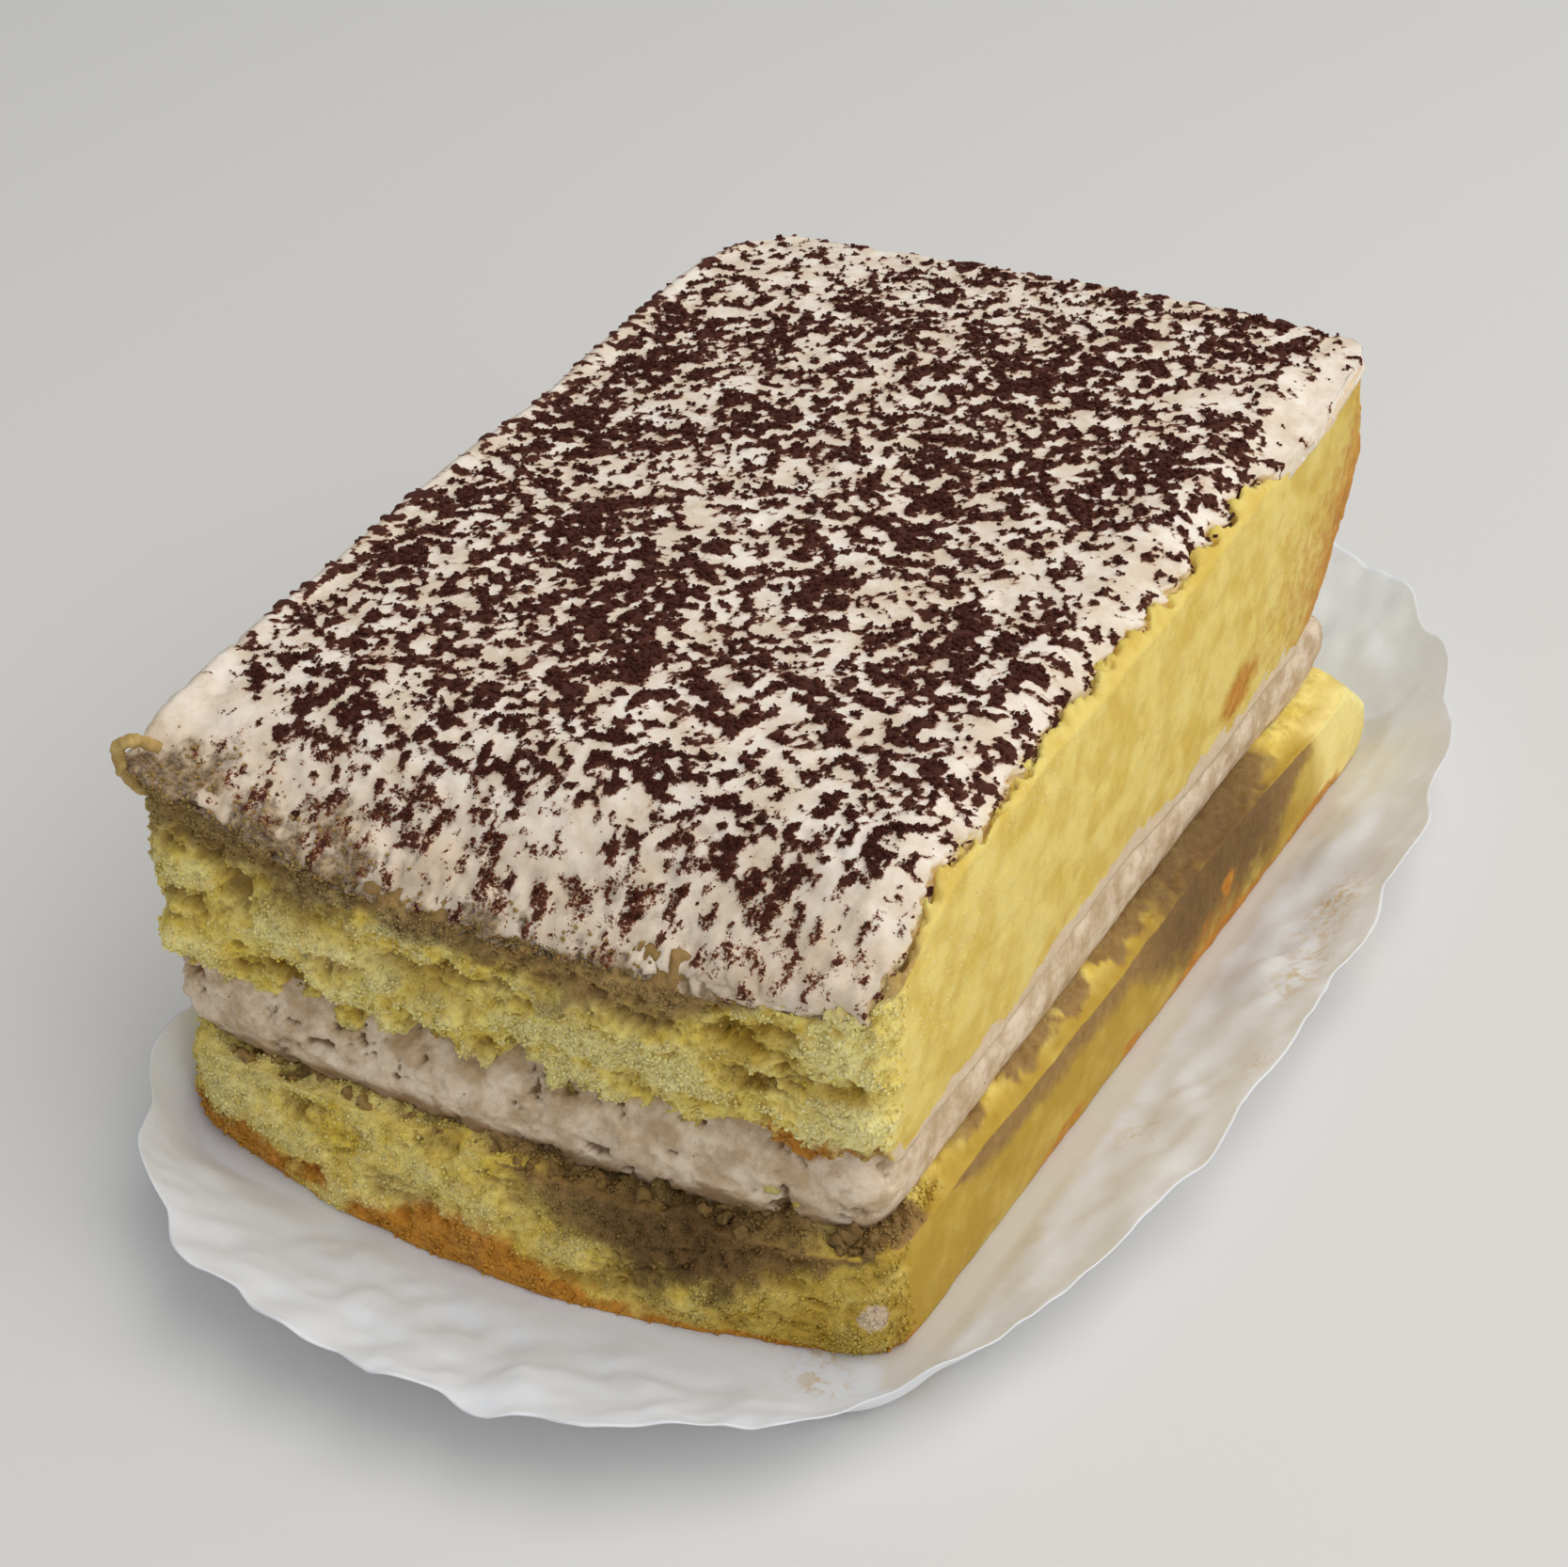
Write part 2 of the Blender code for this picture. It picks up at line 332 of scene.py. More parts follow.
# %% Mesh helpers
def border(across, along):
    """The edge of the square from -1 to 1, walked once round, anticlockwise from the front left corner."""
    side_x = np.linspace(-1.0, 1.0, across, endpoint=False)
    side_y = np.linspace(-1.0, 1.0, along, endpoint=False)
    u = np.concatenate([side_x, np.ones(along), -side_x, -np.ones(along)])
    v = np.concatenate([-np.ones(across), side_y, np.ones(across), -side_y])
    return u, v


def ring_faces(rows, columns, first=0):
    """Quads between each ring of points and the next, closed all the way round."""
    row = np.arange(rows - 1)[:, None] * columns + first
    column = np.arange(columns)[None, :]
    after = (column + 1) % columns
    quads = np.stack([row + column, row + after, row + columns + after, row + columns + column], axis=-1)
    return quads.reshape(-1, 4)


def fan(loop, centre, flip=False):
    """Triangles from a loop of points to one centre point, written as quads with a repeated corner."""
    following = np.roll(loop, -1)
    first, second = (following, loop) if flip else (loop, following)
    return np.stack([first, second, np.full_like(loop, centre)], axis=-1)


def vertex_normals(points, quads):
    """At each point, the sum of the cross products of the diagonals of its quads, made one long."""
    crossing = np.cross(points[quads[:, 2]] - points[quads[:, 0]], points[quads[:, 3]] - points[quads[:, 1]])
    total = np.zeros_like(points)
    for corner in range(4):
        for axis in range(3):
            total[:, axis] += np.bincount(quads[:, corner], weights=crossing[:, axis], minlength=len(points))
    return total / np.maximum(np.linalg.norm(total, axis=1, keepdims=True), 1e-12)


def make_piece(name, points, faces, material, masks=None, flat=False):
    """Puts the arrays in a mesh that rides on the root, with each mask as a point attribute.

    Points are held inside the box of the solids.
    """
    points = np.clip(points, *cad_box)
    mesh = bpy.data.meshes.new(name)
    sizes = np.concatenate([np.full(len(group), group.shape[1]) for group in faces]).astype(np.int32)
    corners = np.concatenate([group.reshape(-1) for group in faces]).astype(np.int32)
    mesh.vertices.add(len(points))
    mesh.vertices.foreach_set("co", points.astype(np.float32).reshape(-1))
    mesh.loops.add(len(corners))
    mesh.loops.foreach_set("vertex_index", corners)
    mesh.polygons.add(len(sizes))
    mesh.polygons.foreach_set("loop_start", np.concatenate([[0], np.cumsum(sizes)[:-1]]).astype(np.int32))
    mesh.update(calc_edges=True)
    mesh.validate()
    if not flat:
        mesh.shade_smooth()
    for mask, values in (masks or {}).items():
        mesh.attributes.new(mask, "FLOAT", "POINT").data.foreach_set("value", values.astype(np.float32))
    mesh.materials.append(material)
    piece = bpy.data.objects.new(name, mesh)
    bpy.context.scene.collection.objects.link(piece)
    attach(piece, "root")
    triangles = int((sizes - 2).sum())
    print(f"{name}: {len(points)} points, {triangles} triangles")
    return piece


# %% One layer of the cake as a closed skin
SIDE = (220, 300)  # columns along the front and along the right face
BASE_LID = (0.995, 0.985, 0.965, 0.93, 0.87, 0.6)
TOP_LID = (0.997, 0.993, 0.988, 0.982, 0.975, 0.967, 0.958, 0.948, 0.936, 0.922, 0.905, 0.88, 0.8, 0.5)


def layer_skin(across, along, rows, foot, edge, low, high, bite=(0.0, 0.0)):
    """A wall from the lower outline to the upper one, and lids whose loops shrink by the lid shares.

    The bite is how far the rear right corner is torn back at the foot and at the edge. Returns the
    points, the quads and triangles, and for each point its u, v, height share t and wall height.
    """
    u, v = border(across, along)
    shares = list(reversed(BASE_LID)) + [1.0] * (rows + 1) + list(TOP_LID)
    heights = [0.0] * len(BASE_LID) + list(np.linspace(0.0, 1.0, rows + 1)) + [1.0] * len(TOP_LID)
    share, t = np.array(shares)[:, None], np.array(heights)[:, None]
    uu, vv, tt = u * share, v * share, t + 0.0 * u
    swelling = SWELL * 4.0 * tt * (1.0 - tt)
    foot_x, foot_y = outline(uu, vv, **{**foot, "spread": foot.get("spread", 0.0) + swelling})
    edge_x, edge_y = outline(uu, vv, **{**edge, "spread": edge.get("spread", 0.0) + swelling})
    bottom, top = low(foot_x, foot_y), high(edge_x, edge_y)
    x, y = foot_x + (edge_x - foot_x) * tt, foot_y + (edge_y - foot_y) * tt
    torn_back = bite[0] * (1.0 - tt) ** 2.5 + bite[1] * tt**2.5
    y = y - torn_back * smooth((vv - 0.6) / 0.4) * smooth((uu + 0.2) / 0.9)
    points = np.stack([x, y, bottom + (top - bottom) * tt], axis=-1).reshape(-1, 3)
    columns, count = len(u), len(points)
    ends = np.array([points[:columns].mean(axis=0), points[-columns:].mean(axis=0)])
    points = np.concatenate([points, ends])
    quads = ring_faces(len(shares), columns)
    first, last = np.arange(columns), np.arange(count - columns, count)
    lids = np.concatenate([fan(first, count, flip=True), fan(last, count + 1)])
    where = [np.concatenate([values.reshape(-1), [0.0, 0.0]]) for values in (uu, vv, top - bottom)]
    return points, quads, lids, where[0], where[1], np.concatenate([tt.reshape(-1), [0.0, 1.0]]), where[2]


def push_skin(points, quads, out, columns):
    """Moves the wall along its normals. The lids only follow the edge they join, less and less inwards."""
    normals = vertex_normals(points, quads)
    rings = (len(points) - 2) // columns
    move = (normals * out[:, None])[:-2].reshape(rings, columns, 3)
    flat = normals[:-2].reshape(rings, columns, 3)
    size = out[:-2].reshape(rings, columns, 1)
    first, last = len(BASE_LID), rings - len(TOP_LID) - 1
    for end, inner, step, lid in ((first, first + 2, -1, BASE_LID), (last, last - 2, 1, TOP_LID)):
        move[end] = flat[inner] * size[end]
        for k, share in enumerate(lid):
            move[end + step * (k + 1)] = move[end] * np.array([share**8, share**8, 0.0])
    moved = points.copy()
    moved[:-2] += move.reshape(-1, 3)
    return moved, normals


def face_weights(u, v):
    """How much a point belongs to the front, right, back and left walls: 1 on a wall, 0 well inside."""
    return [smooth((side - 0.93) / 0.06) for side in (-v, u, v, -u)]


def on_lid(t):
    """1 on a layer's upper lid and 0 on its wall."""
    return smooth((t - 0.995) * 400.0)


columns_round = len(border(*SIDE)[0])
print("columns round a layer:", columns_round)


# %% [markdown]
# ## Shader building blocks
#
# Materials are built as node trees. Two short helpers keep that readable: one adds a node and
# fills its sockets, with a value or with a link, and the other wraps a set of nodes as a group
# with named inputs and outputs, for an effect that more than one finish uses.


# %% Node helpers
def add(tree, kind, inputs=None, **settings):
    """A new node of that kind: settings are its properties, and inputs its sockets by name or number."""
    node = tree.nodes.new(kind)
    for setting, value in settings.items():
        setattr(node, setting, value)
    for socket, value in (inputs or {}).items():
        if isinstance(value, bpy.types.NodeSocket):
            tree.links.new(value, node.inputs[socket])
        else:
            node.inputs[socket].default_value = value
    return node


def calculate(tree, operation, first, second):
    """The result of one Math node on two values."""
    return add(tree, "ShaderNodeMath", {0: first, 1: second}, operation=operation).outputs[0]


def times(tree, first, second):
    return calculate(tree, "MULTIPLY", first, second)


def plus(tree, first, second):
    return calculate(tree, "ADD", first, second)


def minus(tree, first, second):
    return calculate(tree, "SUBTRACT", first, second)


def between(tree, value, low, high, low_out=0.0, high_out=1.0):
    """A value carried smoothly from one range to another."""
    inputs = {"Value": value, "From Min": low, "From Max": high, "To Min": low_out, "To Max": high_out}
    return add(tree, "ShaderNodeMapRange", inputs, interpolation_type="SMOOTHSTEP").outputs["Result"]


def blend_colour(tree, share, first, second, mode="MIX"):
    """Two colours mixed by a share. Sockets 6 and 7 of the Mix node are its colours."""
    inputs = {0: share, 6: first, 7: second}
    return add(tree, "ShaderNodeMix", inputs, data_type="RGBA", blend_type=mode).outputs[2]


def mask(tree, name):
    """A point attribute of the mesh, as stored by make_piece."""
    return add(tree, "ShaderNodeAttribute", attribute_name=name).outputs["Fac"]


def noise(tree, size, detail=3.0, rough=0.5, stretch=(1.0, 1.0, 1.0)):
    """Noise on object coordinates whose largest swells are about that size in metres."""
    place = add(tree, "ShaderNodeTexCoord").outputs["Object"]
    scale = tuple(1.0 / (size * part) for part in stretch)
    place = add(tree, "ShaderNodeMapping", {"Vector": place, "Scale": scale}).outputs[0]
    inputs = {"Vector": place, "Scale": 1.0, "Detail": detail, "Roughness": rough}
    return add(tree, "ShaderNodeTexNoise", inputs).outputs["Fac"]


def swing(tree, size, detail, rough):
    """Noise that swings about 0, to fray the edge of a mask."""
    return minus(tree, noise(tree, size, detail, rough), 0.5)


def cells(tree, size):
    """Distance to the nearest of a set of random seeds, in units of that size."""
    place = add(tree, "ShaderNodeTexCoord").outputs["Object"]
    inputs = {"Vector": place, "Scale": 1.0 / size, "Randomness": 1.0}
    return add(tree, "ShaderNodeTexVoronoi", inputs, feature="F1").outputs["Distance"]


def new_group(name, inputs, outputs):
    """An empty shader group with its sockets: inputs maps a name to a default, outputs a name to a kind."""
    group = bpy.data.node_groups.new(name, "ShaderNodeTree")
    for socket, default in inputs.items():
        kind = "NodeSocketColor" if isinstance(default, tuple) else "NodeSocketFloat"
        group.interface.new_socket(socket, in_out="INPUT", socket_type=kind).default_value = default
    for socket, kind in outputs.items():
        group.interface.new_socket(socket, in_out="OUTPUT", socket_type=kind)
    start = group.nodes.new("NodeGroupInput")
    end = group.nodes.new("NodeGroupOutput")
    return group, start.outputs, end.inputs


def use_group(tree, group, inputs):
    """The outputs of a group placed in a tree, with some of its inputs filled."""
    return add(tree, "ShaderNodeGroup", inputs, node_tree=group).outputs


def new_material(name, roughness, shine=0.5, glow=None):
    """A material with a Principled shader, whose even values are set straight on its sockets.

    Light that sinks into soft food comes out again near by. Its glow is the share of light that
    does so, how far each colour travels, and the depth.
    """
    material = bpy.data.materials.new(name)
    material.use_nodes = True
    sockets = material.node_tree.nodes["Principled BSDF"].inputs
    sockets["Roughness"].default_value = roughness
    sockets["Specular IOR Level"].default_value = shine
    if glow:
        sockets["Subsurface Weight"].default_value = glow[0]
        sockets["Subsurface Radius"].default_value = glow[1]
        sockets["Subsurface Scale"].default_value = glow[2]
    return material, material.node_tree, sockets


def relief(tree, sockets, strength, distance, height):
    """Bump from a height, for relief finer than the mesh."""
    inputs = {"Strength": strength, "Distance": distance, "Height": height}
    tree.links.new(add(tree, "ShaderNodeBump", inputs).outputs[0], sockets["Normal"])


def colour(red, green, blue):
    """A colour from its 0 to 255 screen values, made linear."""
    parts = [part / 255.0 for part in (red, green, blue)]
    return (*(part / 12.92 if part <= 0.04045 else ((part + 0.055) / 1.055) ** 2.4 for part in parts), 1.0)


# %% [markdown]
# ## Crumb: the effect that the sponge and its loose crumbs share
#
# A sponge's crumb is a foam of thin walls round tiny pores, and broader patches are paler or more
# olive. The group takes three colours and gives the mottled colour, with painted shade in the pits
# and in the low parts of its relief, and a height for the Bump node.

# %% The crumb group
crumb, crumb_in, crumb_out = new_group(
    "crumb",
    {"Pale": colour(254, 237, 142), "Body": colour(235, 206, 82), "Painted shade": colour(148, 106, 24), "Painted pit shade": 0.0},
    {"Color": "NodeSocketColor", "Height": "NodeSocketFloat"},
)
broad = noise(crumb, 2.4 * MM, 5.0, 0.6)
foam = noise(crumb, 0.8 * MM, 4.0, 0.65)
walls = between(crumb, cells(crumb, 0.42 * MM), 0.08, 0.5)
tint = blend_colour(crumb, between(crumb, broad, 0.35, 0.68), crumb_in["Body"], crumb_in["Pale"])
olive = between(crumb, noise(crumb, 1.7 * MM, 4.0, 0.65), 0.56, 0.36, 0.0, 0.55)
tint = blend_colour(crumb, olive, tint, colour(196, 164, 52))
# Painted shade: the low parts of the foam relief are darker.
tint = blend_colour(crumb, between(crumb, foam, 0.5, 0.3, 0.0, 0.45), tint, crumb_in["Painted shade"])
# Painted shade in the pits marked on the mesh.
shade = times(crumb, crumb_in["Painted pit shade"], 0.9)
tint = blend_colour(crumb, shade, tint, crumb_in["Painted shade"])
crumb.links.new(tint, crumb_out["Color"])
height = plus(crumb, times(crumb, foam, 0.75), times(crumb, walls, 0.25))
crumb.links.new(height, crumb_out["Height"])
print("crumb group has", len(crumb.nodes), "nodes")

# %% [markdown]
# ## Specks: grains of coffee and cocoa caught in cream
#
# Both creams carry fine dark grains, and so does the sponge near them. The group gives a mask
# that is 1 in a speck. It keeps only the seeds whose neighbourhood is dark in a broad noise, so
# the specks come in loose drifts and not on a grid.

# %% The speck group
specks, specks_in, specks_out = new_group("specks", {"Share": 0.5}, {"Mask": "NodeSocketFloat"})
dots = cells(specks, 0.9 * MM)
drift = noise(specks, 3.5 * MM, 2.0, 0.6)
jitter = times(specks, swing(specks, 0.25 * MM, 2.0, 0.6), 0.3)
reach = times(specks, between(specks, drift, 0.58, 0.3), specks_in["Share"])
spot = minus(specks, times(specks, reach, 0.3), dots)
spot = plus(specks, spot, jitter)
specks.links.new(between(specks, spot, 0.0, 0.05), specks_out["Mask"])
print("speck group has", len(specks.nodes), "nodes")

# %% [markdown]
# ## Sponge
#
# The sponge is yellow and moist. Coffee soaks down from its top in a grey-brown band, and the
# underside of the lower slab keeps its baked crust. Those zones are masks stored on the mesh, so
# they follow the real edges, and noise in the shader frays them. The torn relief could be shader
# displacement, but that is lost when a mesh is exported, so numpy moves the points themselves.

# %% The sponge's finish
sponge, tree, sockets = new_material("moist_sponge", 0.62, 0.3, (0.3, (1.0, 0.75, 0.25), 0.9 * MM))
fray = swing(tree, 1.3 * MM, 4.0, 0.65)
crumbed = use_group(tree, crumb, {"Painted pit shade": mask(tree, "painted_shade_pit")})
calm = minus(tree, 0.9, times(tree, mask(tree, "rough"), 0.9))
patchy = between(tree, noise(tree, 3.4 * MM, 3.0, 0.5), 0.36, 0.64)
mottled = blend_colour(tree, patchy, colour(222, 188, 82), colour(241, 217, 124))
tint = blend_colour(tree, calm, crumbed["Color"], mottled)
# Pale crumb, mixed with painted light on raised tips and at the front right corner.
tint = blend_colour(tree, mask(tree, "pale_and_painted_light"), tint, colour(253, 238, 164))
tint = blend_colour(tree, mask(tree, "dull"), tint, colour(184, 150, 52))
soaked = blend_colour(tree, noise(tree, 0.8 * MM, 3.0, 0.6), colour(112, 80, 38), colour(196, 158, 98))
deep = blend_colour(tree, noise(tree, 0.9 * MM, 3.0, 0.6), colour(52, 32, 16), colour(128, 92, 52))
soaked = blend_colour(tree, mask(tree, "dark"), soaked, deep)
# The soak mask is coffee soak, and also painted shade along the upper slab's foot and on the ledge under the
# cream; both take the soaked colours.
wet_and_painted_shade = plus(tree, mask(tree, "soak"), times(tree, fray, 0.8))
tint = blend_colour(tree, between(tree, wet_and_painted_shade, 0.1, 0.95, 0.0, 0.94), tint, soaked)
baked = blend_colour(tree, noise(tree, 1.2 * MM, 3.0, 0.6), colour(138, 74, 14), colour(234, 160, 44))
# Baked crust, and on the upper slab also painted shade under its front right corner and along its foot.
brown = plus(tree, mask(tree, "crust_and_painted_shade"), times(tree, fray, 1.2))
tint = blend_colour(tree, between(tree, brown, 0.25, 0.85, 0.0, 0.92), tint, baked)
creamy = blend_colour(tree, noise(tree, 1.0 * MM, 4.0, 0.6), colour(208, 180, 144), colour(242, 222, 194))
smeared = plus(tree, mask(tree, "cream"), times(tree, fray, 0.9))
tint = blend_colour(tree, between(tree, smeared, 0.42, 0.6), tint, creamy)
dark = use_group(tree, specks, {"Share": mask(tree, "speck")})["Mask"]
tint = blend_colour(tree, times(tree, dark, 0.7), tint, colour(96, 58, 26))
# Painted glints: tiny pale spots stand in for highlights on moist crumb, and the roughness drops there too.
painted_glints = times(tree, between(tree, cells(tree, 0.45 * MM), 0.2, 0.08), mask(tree, "painted_glint"))
tint = blend_colour(tree, times(tree, painted_glints, 0.8), tint, colour(255, 250, 214))
tree.links.new(tint, sockets["Base Color"])
sparkle = between(tree, noise(tree, 0.3 * MM, 2.0, 0.6), 0.56, 0.7, 0.7, 0.2)
tree.links.new(minus(tree, sparkle, times(tree, painted_glints, 0.3)), sockets["Roughness"])
height = times(tree, crumbed["Height"], plus(tree, 0.2, mask(tree, "rough")))
relief(tree, sockets, 0.7, 0.3 * MM, height)


# %% How a sponge surface is torn
def sponge_relief(points, torn):
    """How far crumb stands out, how deep its hollows are and how much a place is a raised tip.

    A torn face breaks in flat-lying shelves: rough noise squeezed in height, deepened where it
    is low, with domes 1.2 and 0.5 mm across on it. A cut face keeps only small pits.
    """
    flat = points * np.array([1.0, 1.0, 1.8])
    ragged = warped(points, 1.5 * MM, 0.45 * MM, 31)
    swell = fractal(flat, 8.0 * MM, 2, 11)
    shelf = fractal(warped(flat, 2.5 * MM, 0.8 * MM, 21), 3.8 * MM, 5, 41, 0.62)
    medium, small = domes(ragged, 1.2 * MM, 43), domes(ragged, 0.5 * MM, 45)
    cave = smooth((-shelf - 0.14) / 0.2)
    bumps = 0.32 * (medium - 0.5) + 0.2 * (small - 0.5)
    out = torn * MM * (0.9 * swell + 1.6 * shelf + 1.2 * bumps - 0.9 * cave)
    painted_shade_pit = pits(ragged, 0.9 * MM, 0.6, 61)
    out = out - 0.22 * MM * painted_shade_pit * torn + 0.08 * MM * fractal(points, 2.0 * MM, 2, 71, 0.6)
    low = torn * (0.8 * cave + 0.5 * smooth((-shelf - 0.02) / 0.2))
    hollow = np.clip(low + 0.3 * painted_shade_pit * torn + 0.05 * painted_shade_pit, 0.0, 1.0)
    tip = smooth((shelf - 0.05) / 0.2 + 0.6 * (small - 0.5)) * torn
    return out, hollow, tip


# %% The upper sponge
def over(surface, lift):
    """A surface moved up or down, to tuck a layer's edge behind its neighbour."""
    return lambda x, y: surface(x, y) + lift


grain_beds = []  # what loose crumb grains are strewn on: points, normals, masks and weights


def ragged_edge(surface, lift, height, size, seed, places=()):
    """A surface moved up or down, whose front edge also rises and falls by noise and by places."""

    def lifted(x, y):
        from_front, _ = inside_edges(x, y)
        front = smooth(1.0 - (from_front - 2.0 * MM) / (4.0 * MM))
        sagging = spots((x - CUT_X) / HALF_WIDTH, 0.0 * x, places)
        return surface(x, y) + lift + front * (height * fractal(in_plan(x, y), size, 3, seed, 0.7) + sagging)

    return lifted


def sponge_layer(name, rows, foot, edge, low, high, zones, bite, looseness=1.0, firm_foot=0.0, grainy=0.0):
    """One slab of sponge: its skin, pushed out and in by the crumb's relief, with its zones as masks.

    Looseness is how torn its front is, firm_foot how much less so at the foot, and grainy how many
    loose grains lie on its front and its shelf.
    """
    points, quads, lids, u, v, t, tall = layer_skin(*SIDE, rows, foot, edge, low, high, bite)
    front, right, back, left = face_weights(u, v)
    torn = looseness * front * (1.0 - 0.55 * right) * (1.0 - 0.6 * left)
    torn = torn + 0.06 * right + 0.2 * back + 0.12 * left
    torn = np.clip(torn, 0.04, 1.0) * (1.0 - firm_foot * smooth(1.0 - t * 4.0))
    out, hollow, tip = sponge_relief(points, torn)
    points, normals = push_skin(points, quads, out, columns_round)
    rim = np.maximum(abs(u), abs(v))
    shelf = on_lid(t) * smooth((rim - 0.84) / 0.05) * (1.0 - smooth((rim - 0.97) / 0.03))
    uneven = fractal(points * np.array([1.0, 1.0, 0.2]), 1.4 * MM, 3, 75, 0.75)
    points[:, 2] += MM * shelf * (0.7 + 0.7 * (v < -0.8)) * uneven
    masks = zones(points, u, v, t, tall, front, right)
    # Painted shade in the hollows and pits of the crumb.
    masks["painted_shade_pit"] = hollow
    masks["rough"] = np.clip(1.0 - 0.9 * right * (1.0 - front) - 0.4 * on_lid(t), 0.0, 1.0)
    # Painted light: the raised tips of the torn crumb are paler.
    masks["pale_and_painted_light"] = np.clip(masks["pale_and_painted_light"] + 0.7 * tip, 0.0, 1.0)
    on_wall = front * (0.12 + 0.25 * grainy + tip) * (t > 0.0) * (t < 1.0)
    grain_beds.append((points, normals, masks, on_wall + 1.2 * grainy * shelf * (v < -0.8)))
    piece = make_piece(name, points, [quads, lids], sponge, masks)
    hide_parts(name.replace("_crumb", ""))


# Places on a face: the centre across and up it as shares, the reach both ways, and the strength.
UPPER_FOOT = [
    (0.35, 0.0, 0.17, 1.0, -1.5 * MM),
    (0.0, 0.0, 0.1, 1.0, 2.0 * MM),
    (-0.3, 0.0, 0.1, 1.0, 1.2 * MM),
    (0.64, 0.0, 0.08, 1.0, 1.2 * MM),
]
# Pale places on the front; the first, at the front right corner, is painted light where light wraps round it.
UPPER_PALE_AND_PAINTED_LIGHT = [
    (0.92, 0.2, 0.1, 0.2, 1.1),
    (0.86, 0.72, 0.07, 0.12, 0.9),
    (0.4, 0.4, 0.14, 0.14, 0.5),
    (-0.42, 0.5, 0.25, 0.12, 0.5),
]
UPPER_OLIVE = [
    (0.9, 0.45, 0.07, 0.06, 0.9),
    (0.66, 0.7, 0.1, 0.16, 0.8),
    (-0.5, 0.75, 0.15, 0.1, 0.8),
    (-0.18, 0.5, 0.1, 0.16, 0.7),
]
UPPER_STAINS = [
    (0.4, 0.22, 0.07, 0.09, 1.0),
    (-0.35, 0.16, 0.05, 0.08, 0.5),
    (-0.62, 0.1, 0.1, 0.06, 0.5),
    (0.97, 0.4, 0.12, 0.8, 0.5),
    (0.75, 0.3, 0.4, 0.6, 0.5),
]
# Painted shade below the front right corner, given the crust colour.
UPPER_CORNER_SHADE = [(0.8, 0.04, 0.12, 0.08, 1.0)]
# Places of painted glints on the right face.
UPPER_PAINTED_GLINT = [(-0.85, 0.7, 0.3, 0.35, 1.0), (-0.45, 0.9, 0.25, 0.15, 0.6)]


def upper_zones(points, u, v, t, tall, front, right):
    """Coffee has soaked the top of the front, most at its left, and cream is smeared on the right foot."""
    below, above = (1.0 - t) * tall, t * tall
    wander = fractal(points, 3.0 * MM, 4, 81, 0.65)
    soaked = 1.8 * MM + 5.2 * MM * hill(u, -1.05, 0.45) + 2.6 * MM * hill(u, 0.22, 0.28)
    lid = on_lid(t)
    near_front = front + (smooth((-v - 0.84) / 0.05) - front) * lid
    soaked = soaked * near_front * (1.0 - 0.85 * smooth((u - 0.45) / 0.25)) * (1.0 + 0.9 * wander)
    # Painted shade: a dark band along the foot of the front, in the gap where the sponge meets the cream,
    # strongest at the right corner; it goes into the soak and crust masks.
    foot = band(above, 0.9 * MM * (1.0 + 1.2 * wander)) * front * (0.5 + 0.5 * smooth((u - 0.6) / 0.3))
    patchy = smooth(0.4 + 1.8 * fractal(points, 4.0 * MM, 3, 91))
    side = right * (1.0 - front)
    smear = band(above, (2.0 + 0.5 * smooth(v)) * MM * (1.0 + 1.3 * wander)) * side
    rear_smear = band(below, 0.7 * MM * (1.0 + wander)) * side * smooth((v - 0.5) / 0.15)
    # Painted shade under the front right corner; the crust mask here also takes part of the painted shade at
    # the foot.
    corner_shade = 0.8 * spots(u, t, UPPER_CORNER_SHADE) * front
    olive = 0.15 * side + 0.35 * smooth((v - 0.5) / 0.5) * side + spots(u, t, UPPER_OLIVE) * front
    return {
        "soak": np.clip(np.maximum(band(below, soaked), 0.8 * foot), 0.0, 1.0),
        "dark": np.clip(0.35 * smooth(0.5 + 1.5 * wander) + 0.3 * smooth(-u), 0.0, 1.0) * front,
        "crust_and_painted_shade": np.clip(spots(v, t, UPPER_STAINS), 0.0, 1.0) * side + 0.3 * foot + corner_shade,
        "pale_and_painted_light": np.clip(patchy * 0.12 + spots(u, t, UPPER_PALE_AND_PAINTED_LIGHT) * front, 0.0, 1.0),
        "cream": np.maximum(smear, rear_smear),
        # Painted glints on the right face and near the front right corner.
        "painted_glint": np.clip(spots(v, t, UPPER_PAINTED_GLINT) * right + 0.5 * front * smooth((u - 0.6) / 0.3), 0.0, 1.0),
        "speck": 0.15 + 0.15 * right,
        "dull": np.clip(olive, 0.0, 1.0),
    }


sponge_layer(
    "upper_sponge_crumb",
    58,
    CUT_FOOT,
    CUT_EDGE,
    ragged_edge(middle_top, 0.0, 2.6 * MM, 3.2 * MM, 171, UPPER_FOOT),
    slab_top,
    upper_zones,
    (8.0 * MM, 0.0),
)


# %% The lower sponge
FRONT_CRUST = [
    (-0.95, 0.12, 0.1, 0.24, 1.5),
    (-0.74, 0.12, 0.13, 0.24, 1.5),
    (-0.52, 0.26, 0.07, 0.14, 0.9),
    (-0.34, 0.08, 0.08, 0.16, 1.3),
    (-0.05, 0.1, 0.19, 0.3, 2.2),
    (0.2, 0.0, 0.15, 0.16, 0.9),
    (0.42, 0.0, 0.14, 0.16, 0.9),
    (0.7, 0.0, 0.14, 0.08, 0.7),
    (1.0, 0.0, 0.04, 0.1, 0.9),
]
LOWER_BLOB = [(0.95, 0.45, 0.04, 0.14, 1.1)]
LOWER_PALE = [(-0.82, 0.6, 0.16, 0.25, 0.6), (-0.3, 0.45, 0.2, 0.2, 0.3)]
